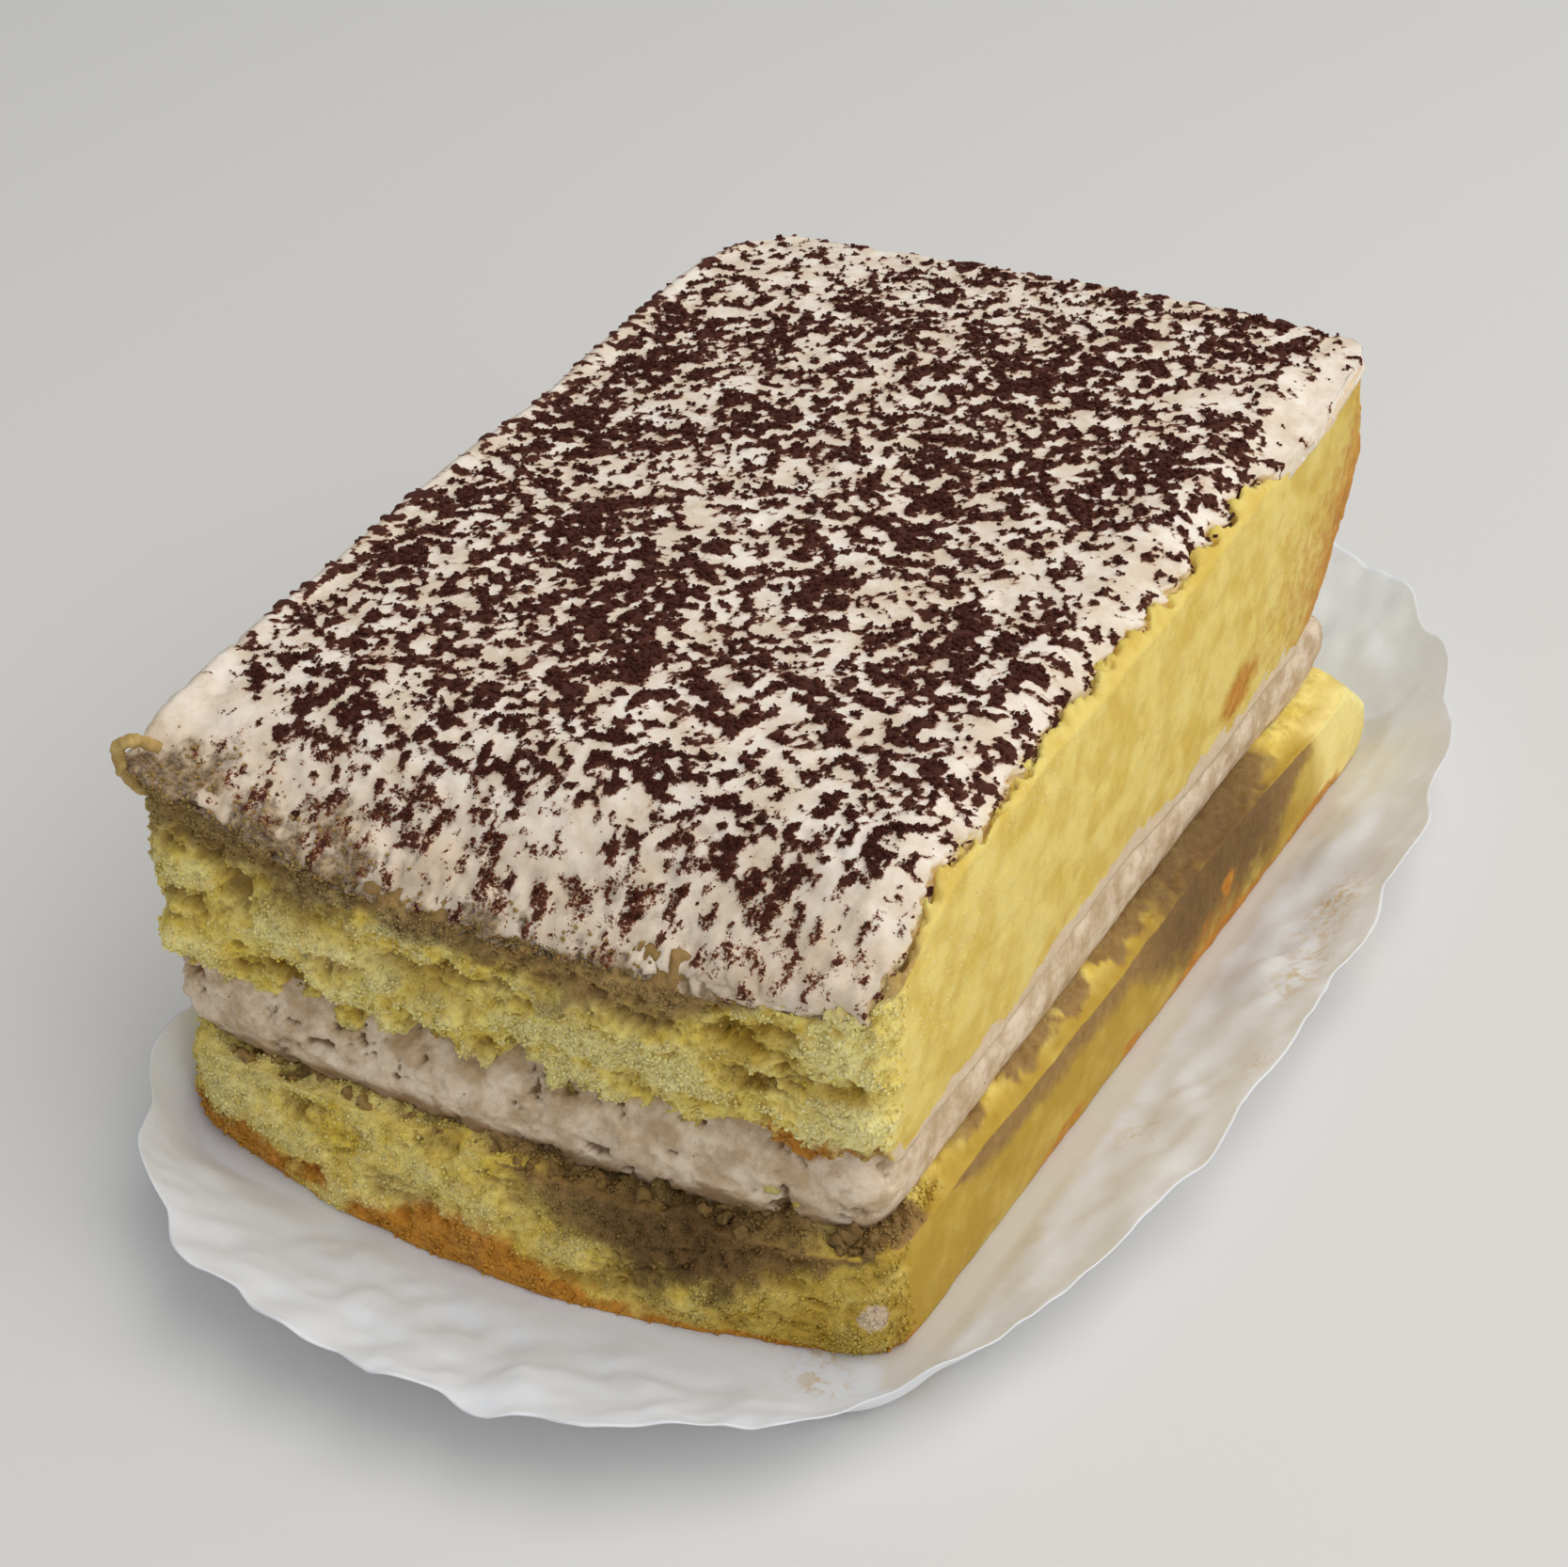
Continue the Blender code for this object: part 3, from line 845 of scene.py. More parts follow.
RIGHT_CRUST = [
    (-0.98, 0.02, 0.05, 0.1, 0.8),
    (-0.43, 0.02, 0.05, 0.12, 1.0),
    (-0.36, 0.16, 0.05, 0.1, 0.8),
    (-0.12, 0.08, 0.04, 0.14, 0.9),
    (0.12, 0.0, 0.14, 0.14, 0.9),
    (0.36, 0.0, 0.14, 0.16, 0.8),
    (0.72, 0.06, 0.14, 0.16, 1.0),
    (0.28, 0.55, 0.03, 0.09, 0.9),
    (0.22, 0.3, 0.14, 0.3, 0.5),
]


def lower_zones(points, u, v, t, tall, front, right):
    """Soaked dark in a pool right of the middle in front and in a patch on the right, crusted at the foot."""
    below, above = (1.0 - t) * tall, t * tall
    wander = fractal(points, 3.0 * MM, 4, 101, 0.65)
    pool = hill(u, 0.48, 0.3)
    patch = smooth((v + 0.15) / 0.25) * (1.0 - smooth((v - 0.4) / 0.25))
    front_depth = (6.2 * MM * pool - 0.2 * MM) * (1.0 + 1.1 * wander)
    right_depth = (2.0 * MM + 6.5 * MM * patch) * smooth((v + 0.85) / 0.2) * (1.0 + 0.45 * wander)
    side = right * (1.0 - front)
    tip = smooth((v - 0.62) / 0.15) * side
    soak = np.maximum(band(below, front_depth) * front, band(below, right_depth) * side) * (1.0 - tip)
    ledge = on_lid(t)
    soak = soak * (1.0 - ledge)
    near_front, near_right = smooth((-v - 0.84) / 0.05), smooth((u - 0.84) / 0.05)
    front_rim = smooth((-v - 0.95 - 0.08 * wander) / 0.04)
    right_rim = smooth((u - 0.935 - 0.08 * wander) / 0.05)
    # The ledge under the cream is soaked, and darkened further with painted shade where the cream hangs over
    # it.
    shaded = smooth((v + 0.8) / 0.2) * (1.0 - smooth((v - 0.5) / 0.15))
    front_soak_and_shade = near_front * (1.0 - front_rim * (1.0 - smooth(pool * 2.0)))
    right_soak_and_shade = near_right * shaded * (1.0 - right_rim * (1.0 - patch))
    ledge = ledge * np.maximum(front_soak_and_shade, right_soak_and_shade) * (0.95 + 0.4 * wander)
    streak = 0.6 * smooth((-u - 0.1) / 0.3)
    crust_and_painted_shade = spots(u, t, FRONT_CRUST) * front + spots(v, t, RIGHT_CRUST) * side
    crust_and_painted_shade = np.clip(crust_and_painted_shade + 0.4 * band(above, 0.4 * MM) * (front + side), 0.0, 1.1) * (1.0 + 0.6 * wander)
    blob = spots(u, t, LOWER_BLOB) * front
    patchy = smooth(0.35 + 1.6 * fractal(points, 5.0 * MM, 3, 121))
    dark_front = (1.1 * pool + streak) * np.maximum(front, near_front)
    dull = side * (1.0 - tip) * (0.95 + 0.6 * wander)
    dull = dull + front * (0.12 + 0.6 * smooth(u + 0.2)) * (1.0 + wander)
    return {
        "soak": np.clip(np.maximum(soak, 0.95 * ledge), 0.0, 1.0),
        "dark": np.clip(dark_front + (0.25 + 0.6 * patch) * near_right, 0.0, 1.0),
        "crust_and_painted_shade": crust_and_painted_shade,
        "pale_and_painted_light": np.clip(patchy * 0.2 + 0.5 * tip + spots(u, t, LOWER_PALE) * front, 0.0, 1.0),
        "cream": blob,
        "painted_glint": 0.0 * u,
        "speck": 0.25 + 0.0 * u,
        "dull": np.clip(dull, 0.0, 1.0),
    }


def rounded_shoulder(x, y):
    """The lower slab's top, worn round towards its front and right edges."""
    across, along = (x - CUT_X) / HALF_WIDTH, (y - CUT_Y) / HALF_LENGTH
    return lower_top(x, y) - 1.2 * MM * smooth((np.maximum(across, -along) - 0.88) / 0.16) ** 2


sponge_layer(
    "lower_sponge_crumb",
    40,
    FOOT,
    SHOULDER,
    lambda x, y: 0.16 * MM + 0.0 * x,
    rounded_shoulder,
    lower_zones,
    (0.0, 4.5 * MM),
    looseness=0.55,
    firm_foot=0.8,
    grainy=1.0,
)

# %% [markdown]
# ## Cream
#
# The cream between the slabs is a soft, pinkish beige, with small air holes and coffee grains.
# Its edge bulges a little past its own thickness, over the slab below and under the one above,
# so the line where it meets the crumb is ragged: whichever stands further out is what is seen.
# A plain band with rounded edges would look squeezed from a tube, so noise tears its front.

# %% The filling cream's finish
filling, tree, sockets = new_material("filling_cream", 0.6, 0.3, (0.2, (1.0, 0.8, 0.6), 1.0 * MM))
patches = noise(tree, 2.4 * MM, 5.0, 0.65)
tint = blend_colour(tree, between(tree, patches, 0.35, 0.66), colour(194, 166, 130), colour(236, 216, 190))
# Painted shade in the cracks and air holes of the torn front.
tint = blend_colour(tree, between(tree, mask(tree, "painted_shade_pit"), 0.15, 0.8, 0.0, 0.8), tint, colour(134, 96, 56))
stain = plus(tree, mask(tree, "soak"), swing(tree, 1.2 * MM, 3.0, 0.6))
tint = blend_colour(tree, between(tree, stain, 0.3, 0.8, 0.0, 0.8), tint, colour(138, 104, 66))
dark = use_group(tree, specks, {"Share": 0.35})["Mask"]
tint = blend_colour(tree, dark, tint, colour(84, 50, 30))
tree.links.new(tint, sockets["Base Color"])
grain = noise(tree, 0.6 * MM, 5.0, 0.65)
relief(tree, sockets, 0.6, 0.2 * MM, grain)


# %% The middle cream
def middle_cream():
    """The band's wall bulges by a half sine over its height, its edges tucked in and its front torn."""
    low, high = over(lower_top, -1.0 * MM), over(middle_top, 1.6 * MM)
    bite = (5.0 * MM, 7.0 * MM)
    points, quads, lids, u, v, t, _ = layer_skin(*SIDE, 30, CREAM_FOOT, CREAM_EDGE, low, high, bite)
    front, right, back, left = face_weights(u, v)
    rough = np.clip(front * (1.0 - 0.5 * smooth((u - 0.7) / 0.2)) + 0.3 * back + 0.3 * left + 0.12, 0.0, 1.0)
    flat = points * np.array([1.0, 1.0, 1.7])
    torn = fractal(warped(flat, 1.6 * MM, 0.6 * MM, 131), 2.2 * MM, 4, 141, 0.7)
    crack = smooth((-torn - 0.22) / 0.12)
    wall = MM * (0.9 - 0.3 * right) * (np.sin(math.pi * t) - 0.6) + 0.1 * MM * right * (1.0 - front)
    out = wall + rough * MM * (0.85 * torn - 0.6 * crack) + 0.12 * MM * fractal(points, 4.0 * MM, 3, 151)
    points, _ = push_skin(points, quads, out, columns_round)
    foot = smooth(1.0 - t * 3.6 + 1.2 * torn)
    blots = 0.25 * front * smooth(0.3 + 2.0 * fractal(points, 4.0 * MM, 2, 161))
    soak = foot * (0.2 + 0.75 * front + 0.6 * right) + blots
    # The cracks carry their painted shade in the pit mask.
    masks = {"painted_shade_pit": crack * rough, "soak": soak}
    piece = make_piece("middle_cream_band", points, [quads, lids], filling, masks)
    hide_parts("middle_cream")


middle_cream()

# %% [markdown]
# ## The topping and its cocoa
#
# The topping's upper face is what the eye rests on, so it gets a square grid of its own, sewn to
# the wall. Cocoa lies in ragged islands. One function says how thick it lies at any place: the
# cream's shader reads it as a stored mask for the powder itself, and the loose grains further on
# are strewn by the same function, so both agree.


# %% Where cocoa lies
COCOA_DRIFTS = [
    (0.3, 0.5, 0.4, 0.35, 0.14),
    (-0.6, -0.25, 0.35, 0.3, 0.07),
    (0.05, -0.4, 0.35, 0.18, 0.07),
    (-0.3, 0.08, 0.28, 0.14, -0.10),
    (0.62, 0.02, 0.22, 0.13, -0.08),
    (-0.8, 0.95, 0.35, 0.14, -0.14),
    (0.97, 0.75, 0.12, 0.14, -0.3),
    (-1.0, -0.92, 0.2, 0.22, -0.35),
]


def on_brow(from_front):
    """1 on the rolled front edge, falling to 0 where the flat top starts."""
    return smooth(1.0 - (from_front - 2.0 * MM) / (6.5 * MM))


def cocoa_depth(points, u, v):
    """Above 0 where cocoa lies, below where the cream is bare: fractal noise against a threshold.

    On the brow the islands are drawn out down the slope, and the threshold rises there, where
    powder slid off, and along the right edge. The drifts are broad places with more or less of it.
    """
    from_front, from_right = inside_edges(points[..., 0], points[..., 1])
    brow = on_brow(from_front)
    edge = smooth(1.0 - from_right / (7.0 * MM)) * (1.0 - 0.5 * smooth((v - 0.3) / 0.3))
    moved = warped(points, 0.7 * MM, 0.18 * MM, 201)
    islands = fractal(moved * np.array([0.9, 1.0, 1.0]), 0.66 * MM, 3, 211, 0.62)
    streaks = fractal(moved * np.array([1.0, 0.72, 0.72]), 0.7 * MM, 3, 215, 0.7)
    drift = 0.2 * fractal(points, 5.0 * MM, 3, 221) + spots(u, v, COCOA_DRIFTS)
    depth = islands * (1.0 - brow) + streaks * brow
    return depth + drift - 0.028 - 0.11 * brow - 0.14 * edge


covered = cocoa_depth(sample, 0.0 * sample[:, 0], 0.0 * sample[:, 0]) > 0.0
print("share of the cake's middle under cocoa:", round(float(covered.mean()), 2))


# %% The topping's finish
topping, tree, sockets = new_material("whipped_topping", 0.6, 0.3, (0.25, (1.0, 0.85, 0.7), 1.0 * MM))
patches = noise(tree, 3.0 * MM, 4.0, 0.65)
tint = blend_colour(tree, between(tree, patches, 0.3, 0.7), colour(224, 204, 178), colour(252, 240, 224))
tint = blend_colour(tree, times(tree, mask(tree, "rusty"), 0.45), tint, colour(208, 182, 148))
ragged = swing(tree, 0.28 * MM, 3.0, 0.75)
fray = swing(tree, 1.2 * MM, 4.0, 0.65)
stain = plus(tree, mask(tree, "soak"), fray)
soaked = between(tree, noise(tree, 0.7 * MM, 5.0, 0.7), 0.36, 0.66)
soaked = blend_colour(tree, soaked, colour(92, 68, 44), colour(186, 158, 122))
# Painted shade in the creases of the hanging brow.
soaked = blend_colour(tree, mask(tree, "painted_shade_crease"), soaked, colour(76, 54, 36))
tint = blend_colour(tree, between(tree, stain, 0.3, 0.8, 0.0, 0.92), tint, soaked)
thin = plus(tree, mask(tree, "thin"), times(tree, fray, 0.9))
tint = blend_colour(tree, between(tree, thin, 0.25, 0.85, 0.0, 0.75), tint, colour(240, 214, 150))
broken = plus(tree, 0.4, times(tree, mask(tree, "rusty"), 1.1))
lying = plus(tree, mask(tree, "cocoa"), times(tree, ragged, broken))
lying = minus(tree, lying, times(tree, mask(tree, "rusty"), 0.08))
dusted = plus(tree, 0.5, times(tree, mask(tree, "rusty"), 0.1))
dusted = times(tree, between(tree, lying, -0.13, 0.0), dusted)
tint = blend_colour(tree, dusted, tint, colour(156, 92, 56))
powder = blend_colour(tree, noise(tree, 0.4 * MM, 2.0, 0.6), colour(42, 16, 10), colour(96, 50, 34))
core = minus(tree, lying, times(tree, mask(tree, "rusty"), 0.07))
powder = blend_colour(tree, between(tree, core, 0.0, 0.06), colour(120, 64, 36), powder)
heap = between(tree, lying, -0.02, 0.03)
tint = blend_colour(tree, heap, tint, powder)
dark = use_group(tree, specks, {"Share": 0.3})["Mask"]
tint = blend_colour(tree, dark, tint, colour(70, 34, 22))
tree.links.new(tint, sockets["Base Color"])
tree.links.new(between(tree, heap, 0.0, 1.0, 0.55, 0.9), sockets["Roughness"])
grain = noise(tree, 0.35 * MM, 4.0, 0.65)
height = plus(tree, times(tree, grain, 0.5), times(tree, heap, 0.8))
relief(tree, sockets, 0.6, 0.2 * MM, height)


# %% The topping's skin
def crown_points(u, v):
    """The topping's upper face before relief: the crown outline under its own height."""
    x, y = outline(u, v, **CROWN)
    return np.stack([x, y, topping_top(x, y)], axis=-1)


def crown_relief(points, u, v):
    """Whipped cream is softly uneven, with the drag marks of a knife, and cocoa lies a little proud."""
    from_front, _ = inside_edges(points[..., 0], points[..., 1])
    brow = on_brow(from_front)
    swell = 0.35 * MM * fractal(points, 7.0 * MM, 3, 231)
    swell = swell + (0.10 * MM + 0.32 * MM * brow) * fractal(points, 1.3 * MM, 3, 241, 0.65)
    heap = smooth(cocoa_depth(points, u, v) / 0.2)
    pinholes = pits(points, 2.6 * MM, 0.3, 251)
    return swell + 0.22 * MM * heap - 0.3 * MM * pinholes


def topping_cream(across=220, along=310, rows=14):
    """A square grid for the upper face, sewn to a wall of rings that ends in a lid underneath."""
    line_u, line_v = np.linspace(-1.0, 1.0, across + 1), np.linspace(-1.0, 1.0, along + 1)
    grid_u, grid_v = np.meshgrid(line_u, line_v)
    index = np.arange(grid_u.size).reshape(grid_u.shape)
    face = np.stack([index[:-1, :-1], index[:-1, 1:], index[1:, 1:], index[1:, :-1]], axis=-1).reshape(-1, 4)
    rim = np.concatenate([index[0, :-1], index[:-1, -1], index[-1, :0:-1], index[:0:-1, 0]])
    u, v = grid_u.reshape(-1), grid_v.reshape(-1)
    crown = crown_points(u, v)
    rim_u, rim_v = u[rim], v[rim]
    shares = [1.0] * rows + list(BASE_LID)
    t = np.array(list(np.linspace(1.0, 0.0, rows + 1)[1:]) + [0.0] * len(BASE_LID))[:, None]
    uu, vv = rim_u * np.array(shares)[:, None], rim_v * np.array(shares)[:, None]
    top_x, top_y = outline(uu, vv, **CROWN)
    low_x, low_y = outline(uu, vv, **CUT_EDGE)
    x, y = low_x + (top_x - low_x) * t, low_y + (top_y - low_y) * t
    top, bottom = topping_top(top_x, top_y), upper_top(low_x, low_y) - 0.6 * MM
    wall = np.stack([x, y, bottom + (top - bottom) * t], axis=-1).reshape(-1, 3)
    columns, start = len(rim), len(crown)
    hem = start + np.arange(columns)
    sewn = np.stack([rim, np.roll(rim, -1), np.roll(hem, -1), hem], axis=-1)
    quads = np.concatenate([face, sewn[:, ::-1], ring_faces(len(shares), columns, start)[:, ::-1]])
    points = np.concatenate([crown, wall, [wall[-columns:].mean(axis=0)]])
    last = np.arange(len(points) - 1 - columns, len(points) - 1)
    lid = fan(last, len(points) - 1, flip=True)
    u = np.concatenate([u, uu.reshape(-1), [0.0]])
    v = np.concatenate([v, vv.reshape(-1), [0.0]])
    height = np.concatenate([np.ones(start), (t + 0.0 * uu).reshape(-1), [0.0]])
    return points, quads, lid, u, v, height


def make_topping():
    """Rough where the brow hangs, tucked in at its foot, and pressed under the bare sponge on the right."""
    points, quads, lid, u, v, t = topping_cream()
    front, right, _, left = face_weights(u, v)
    from_front, from_right = inside_edges(points[:, 0], points[:, 1])
    hanging = smooth(1.0 - from_front / (4.5 * MM))
    tuck = smooth(1.0 - t * 1.6) * (1.0 - right)
    torn = fractal(warped(points, 1.5 * MM, 0.5 * MM, 265), 2.4 * MM, 4, 261, 0.62)
    out = crown_relief(points, u, v) * smooth(t * 3.0) - 0.5 * MM * tuck
    out = out + 0.3 * MM * np.maximum(front, left) * t
    loose = 0.7 * hanging * (1.0 - t) + 0.7 * hanging * (1.0 - 0.5 * smooth(u)) + 0.5 * front * (1.0 - t)
    out = out + MM * torn * loose
    fold = fractal(warped(points * np.array([0.6, 0.6, 1.4]), 1.5 * MM, 0.6 * MM, 271), 2.0 * MM, 3, 273, 0.6)
    # The creases are pressed in and get painted shade.
    painted_shade_crease = smooth(1.0 - abs(fold) / 0.07) * hanging * (1.0 - 0.6 * smooth((u - 0.3) / 0.4))
    rotten = hanging * (1.0 - smooth((u + 0.1) / 0.4))
    out = out - 0.5 * MM * painted_shade_crease + 0.5 * MM * rotten * fractal(points, 0.9 * MM, 2, 277)
    cocoa = cocoa_depth(points, u, v) - 0.25 * (1.0 - t) - 0.3 * right * (1.0 - t)
    points = points + vertex_normals(points, quads) * out[:, None]
    bare = bare_edge(points[:, 0], points[:, 1])
    points[:, 2] -= 0.5 * MM * bare * t
    points[:, 0] -= 0.9 * MM * bare * right
    shoulder = smooth(1.0 - np.hypot(u + 1.0, 1.4 * (v + 1.0)) / 0.22)
    points[:, 2] -= 0.8 * MM * shoulder * t
    reach = MM * (0.8 + 3.2 * smooth((-u - 0.22) / 0.28) + 1.4 * hill(u, 0.12, 0.3)) * (1.0 + 1.6 * torn)
    reach = np.where(u < 0.5, reach, 0.6 * reach)
    from_foot = np.maximum(from_front, 0.0) + 1.8 * MM * t
    soak = np.clip(band(from_foot, reach) * smooth(1.0 + 1.5 * torn), 0.0, 1.0)
    thin = np.maximum(bare, 0.6 * smooth(1.0 - from_right / (2.5 * MM)) * (1.0 - smooth((v - 0.3) / 0.3)))
    rusty = smooth(1.0 - from_front / (7.0 * MM))
    masks = {"cocoa": cocoa, "soak": soak, "thin": thin, "painted_shade_crease": painted_shade_crease, "rusty": rusty}
    on_lip = soak * smooth(1.0 - from_front / (5.0 * MM)) * (u < 0.5) * np.maximum(front, t)
    crumbed = {key: 0.0 * u for key in grain_beds[0][2]}
    crumbed.update(soak=1.0 + 0.0 * u, dark=0.2 + 0.3 * smooth(u + 0.6), rough=1.0 + 0.0 * u)
    grain_beds.append((points, vertex_normals(points, quads), crumbed, 0.5 * on_lip))
    piece = make_piece("topping_cream_crown", points, [quads, lid], topping, masks)
    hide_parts("topping_cream")


make_topping()

# %% [markdown]
# ## Loose crumb grains
#
# Tearing leaves grains of crumb standing on the lumps. They are strewn on the torn faces, most
# of them on the raised tips, and each takes the masks of the place it stands on, so a grain in
# the soaked band is brown too. A grain is an octahedron, squashed and turned at random. All of
# them are one mesh from arrays: a particle system would look the same, but isn't exported.


# %% Strewing small lumps
OCTAHEDRON = np.array([(1, 0, 0), (-1, 0, 0), (0, 1, 0), (0, -1, 0), (0, 0, 1), (0, 0, -1)], float)
OCTAHEDRON_FACES = np.array(
    [(0, 2, 4), (2, 1, 4), (1, 3, 4), (3, 0, 4), (2, 0, 5), (1, 2, 5), (3, 1, 5), (0, 3, 5)]
)


def lumps_mesh(centres, sizes, rng, flat=0.7):
    """Each lump is an octahedron with its corners moved at random, turned by a random rotation and scaled."""
    count = len(centres)
    corners = OCTAHEDRON[None] * rng.uniform(0.7, 1.3, (count, 6, 1)) + rng.normal(0.0, 0.12, (count, 6, 3))
    turn = np.linalg.qr(rng.normal(size=(count, 3, 3)))[0]
    turn = turn * np.linalg.det(turn)[:, None, None]
    corners = np.einsum("nij,nkj->nki", turn, corners) * sizes[:, None, None]
    corners[..., 2] *= flat
    points = (corners + centres[:, None]).reshape(-1, 3)
    faces = (OCTAHEDRON_FACES[None] + 6 * np.arange(count)[:, None, None]).reshape(-1, 3)
    return points, faces


def strewn_crumbs(count, sizes, seed):
    """Grains on points drawn from all the beds by their weights, each with the masks of its place."""
    rng = np.random.default_rng(seed)
    points = np.concatenate([bed[0] for bed in grain_beds])
    normals = np.concatenate([bed[1] for bed in grain_beds])
    weights = np.concatenate([bed[3] for bed in grain_beds])
    chosen = rng.choice(len(points), count, p=weights / weights.sum())
    size = rng.uniform(*sizes, count)
    jitter = rng.uniform(-0.12, 0.12, (count, 3)) * MM
    centres = points[chosen] + jitter + normals[chosen] * (0.15 * size)[:, None]
    masks = {key: np.concatenate([bed[2][key] for bed in grain_beds])[chosen] for key in grain_beds[0][2]}
    masks["pale_and_painted_light"] = np.clip(masks["pale_and_painted_light"] + rng.uniform(-0.3, 0.4, count), 0.0, 1.0)
    points, faces = lumps_mesh(centres, size, rng, 1.0)
    return points, faces, {key: np.repeat(values, 6) for key, values in masks.items()}


points, faces, masks = strewn_crumbs(22000, (0.06 * MM, 0.19 * MM), 401)
crumb_grains = make_piece("sponge_crumb_grains", points, [faces], sponge, masks)

# %% [markdown]
# ## Loose cocoa
#
# Sifted cocoa clings in tiny lumps. Thousands of them are strewn over the islands: a small
# octahedron each, squashed and turned at random, all joined in one mesh.

# %% The cocoa's finish
cocoa, tree, sockets = new_material("cocoa_powder", 0.85, 0.15)
tint = blend_colour(tree, noise(tree, 1.1 * MM, 3.0, 0.6), colour(40, 14, 10), colour(92, 44, 32))
tint = blend_colour(tree, mask(tree, "rusty"), tint, colour(126, 68, 36))
tree.links.new(tint, sockets["Base Color"])
relief(tree, sockets, 0.5, 0.05 * MM, noise(tree, 0.12 * MM, 2.0, 0.6))


# %% Strewing the cocoa
def strewn_cocoa(tries, threshold, size_range, seed, brow_only=False):
    """Random places on the crown are kept where the cocoa lies thicker than the threshold."""
    rng = np.random.default_rng(seed)
    u, v = rng.uniform(-0.995, 0.995, tries), rng.uniform(-0.995, -0.7 if brow_only else 0.995, tries)
    base = crown_points(u, v)
    depth = cocoa_depth(base, u, v) + 0.10 * fractal(base, 0.6 * MM, 2, 281)
    from_front, _ = inside_edges(base[:, 0], base[:, 1])
    covered = bare_edge(base[:, 0], base[:, 1]) > 0.3
    keep = (depth > threshold) & ~covered & (from_front > 0.8 * MM)
    base, u, v, depth, from_front = base[keep], u[keep], v[keep], depth[keep], from_front[keep]
    lift = crown_relief(base, u, v)
    sizes = rng.uniform(*size_range, len(base)) * (0.75 + 0.9 * np.clip(depth, 0.0, 0.35))
    base[:, 2] += lift + 0.25 * sizes
    rusty = smooth(1.0 - from_front / (9.0 * MM)) * rng.uniform(0.0, 1.2, len(base)) - 2.0 * depth
    points, faces = lumps_mesh(base, sizes, rng)
    return points, faces, {"rusty": np.repeat(np.clip(rusty, 0.0, 1.0), 6)}


points, faces, masks = strewn_cocoa(46000, 0.0, (0.09 * MM, 0.24 * MM), 301)
grains = make_piece("cocoa_lumps", points, [faces], cocoa, masks, flat=True)
points, faces, masks = strewn_cocoa(42000, -0.04, (0.05 * MM, 0.11 * MM), 303, brow_only=True)
dust = make_piece("cocoa_dust", points, [faces], cocoa, masks, flat=True)

# %% [markdown]
# ## Torn crumbs
#
# Cutting and tearing leave lumps of crumb stuck in the cream's front, more on the lower slab's
# shoulder, and one thin loop of soaked crumb that hangs from the front left corner. A lump is a
# fine ball whose points are pushed in and out by noise. The loop is a thin tube carried round a curve.


# %% Lumps and the loop
def rough_balls(centres, sizes, seed):
    """Copies of one ball of 80 triangles, each scaled, and pushed about by noise of its own."""
    shape = bmesh.new()
    bmesh.ops.create_icosphere(shape, subdivisions=2, radius=1.0)
    ball = np.array([vertex.co[:] for vertex in shape.verts])
    faces = np.array([[vertex.index for vertex in face.verts] for face in shape.faces])
    shape.free()
    spread = ball[None] + centres[:, None] / MM
    rough = 1.0 + 1.5 * fractal(spread, 0.8, 3, seed, 0.75)[..., None]
    points = centres[:, None] + ball[None] * rough * sizes[:, None, None]
    faces = faces[None] + len(ball) * np.arange(len(centres))[:, None, None]
    return points.reshape(-1, 3), faces.reshape(-1, 3), len(ball)


def crumbs_in_cream(count, seed):
    """Lumps half sunk in the front of the middle cream, most of them right of its middle."""
    rng = np.random.default_rng(seed)
    u = np.where(rng.uniform(size=count) < 0.75, rng.normal(0.35, 0.28, count), rng.uniform(-0.9, 0.9, count))
    u = np.clip(u, -0.95, 0.9)
    x, y = outline(u, -1.0 + 0.0 * u, **CREAM_EDGE)
    low, high = lower_top(x, y), middle_top(x, y)
    z = low + (high - low) * rng.uniform(0.0, 1.0, count) ** 0.8
    sizes = 0.25 * MM + 0.75 * MM * rng.uniform(size=count) ** 2.5
    centres = np.stack([x, y + rng.uniform(-0.3, 0.3, count) * MM, z], axis=-1)
    points, faces, each = rough_balls(centres, sizes, seed)
    masks = {
        "soak": np.repeat(rng.uniform(0.0, 0.9, count), each),
        "dark": np.zeros(len(points)),
        "pale_and_painted_light": np.repeat(rng.uniform(0.0, 0.6, count), each),
        "speck": np.full(len(points), 0.3),
        "rough": np.ones(len(points)),
    }
    return points, faces, masks


def tube(path, radius, around=14, steps=90, seed=5):
    """A closed tube along a smooth curve through the points of the path, its radius swelling by noise."""
    knots = np.linspace(0.0, 1.0, len(path))
    share = np.linspace(0.0, 1.0, steps)
    curve = np.stack([np.interp(share, knots, path[:, k]) for k in range(3)], axis=-1)
    for _ in range(40):
        curve[1:-1] = 0.25 * (curve[:-2] + 2.0 * curve[1:-1] + curve[2:])
    along = np.gradient(curve, axis=0)
    along = along / np.linalg.norm(along, axis=1, keepdims=True)
    out = np.cross(along, np.array([0.6, -0.8, 0.0]))
    out = out / np.linalg.norm(out, axis=1, keepdims=True)
    beside = np.cross(along, out)
    angle = np.arange(around) / around * 2.0 * math.pi
    ring = out[:, None] * np.cos(angle)[None, :, None] + beside[:, None] * np.sin(angle)[None, :, None]
    rough = 1.0 + 0.7 * fractal(curve[:, None] + radius * ring, 0.7 * MM, 3, seed, 0.6)[..., None]
    points = (curve[:, None] + radius * ring * rough).reshape(-1, 3)
    points = np.concatenate([points, curve[[0, -1]]])
    quads = ring_faces(steps, around)
    loop = np.arange(around)
    start = fan(loop, len(points) - 2, flip=True)
    end = fan(loop + (steps - 1) * around, len(points) - 1)
    return points, quads, np.concatenate([start, end])


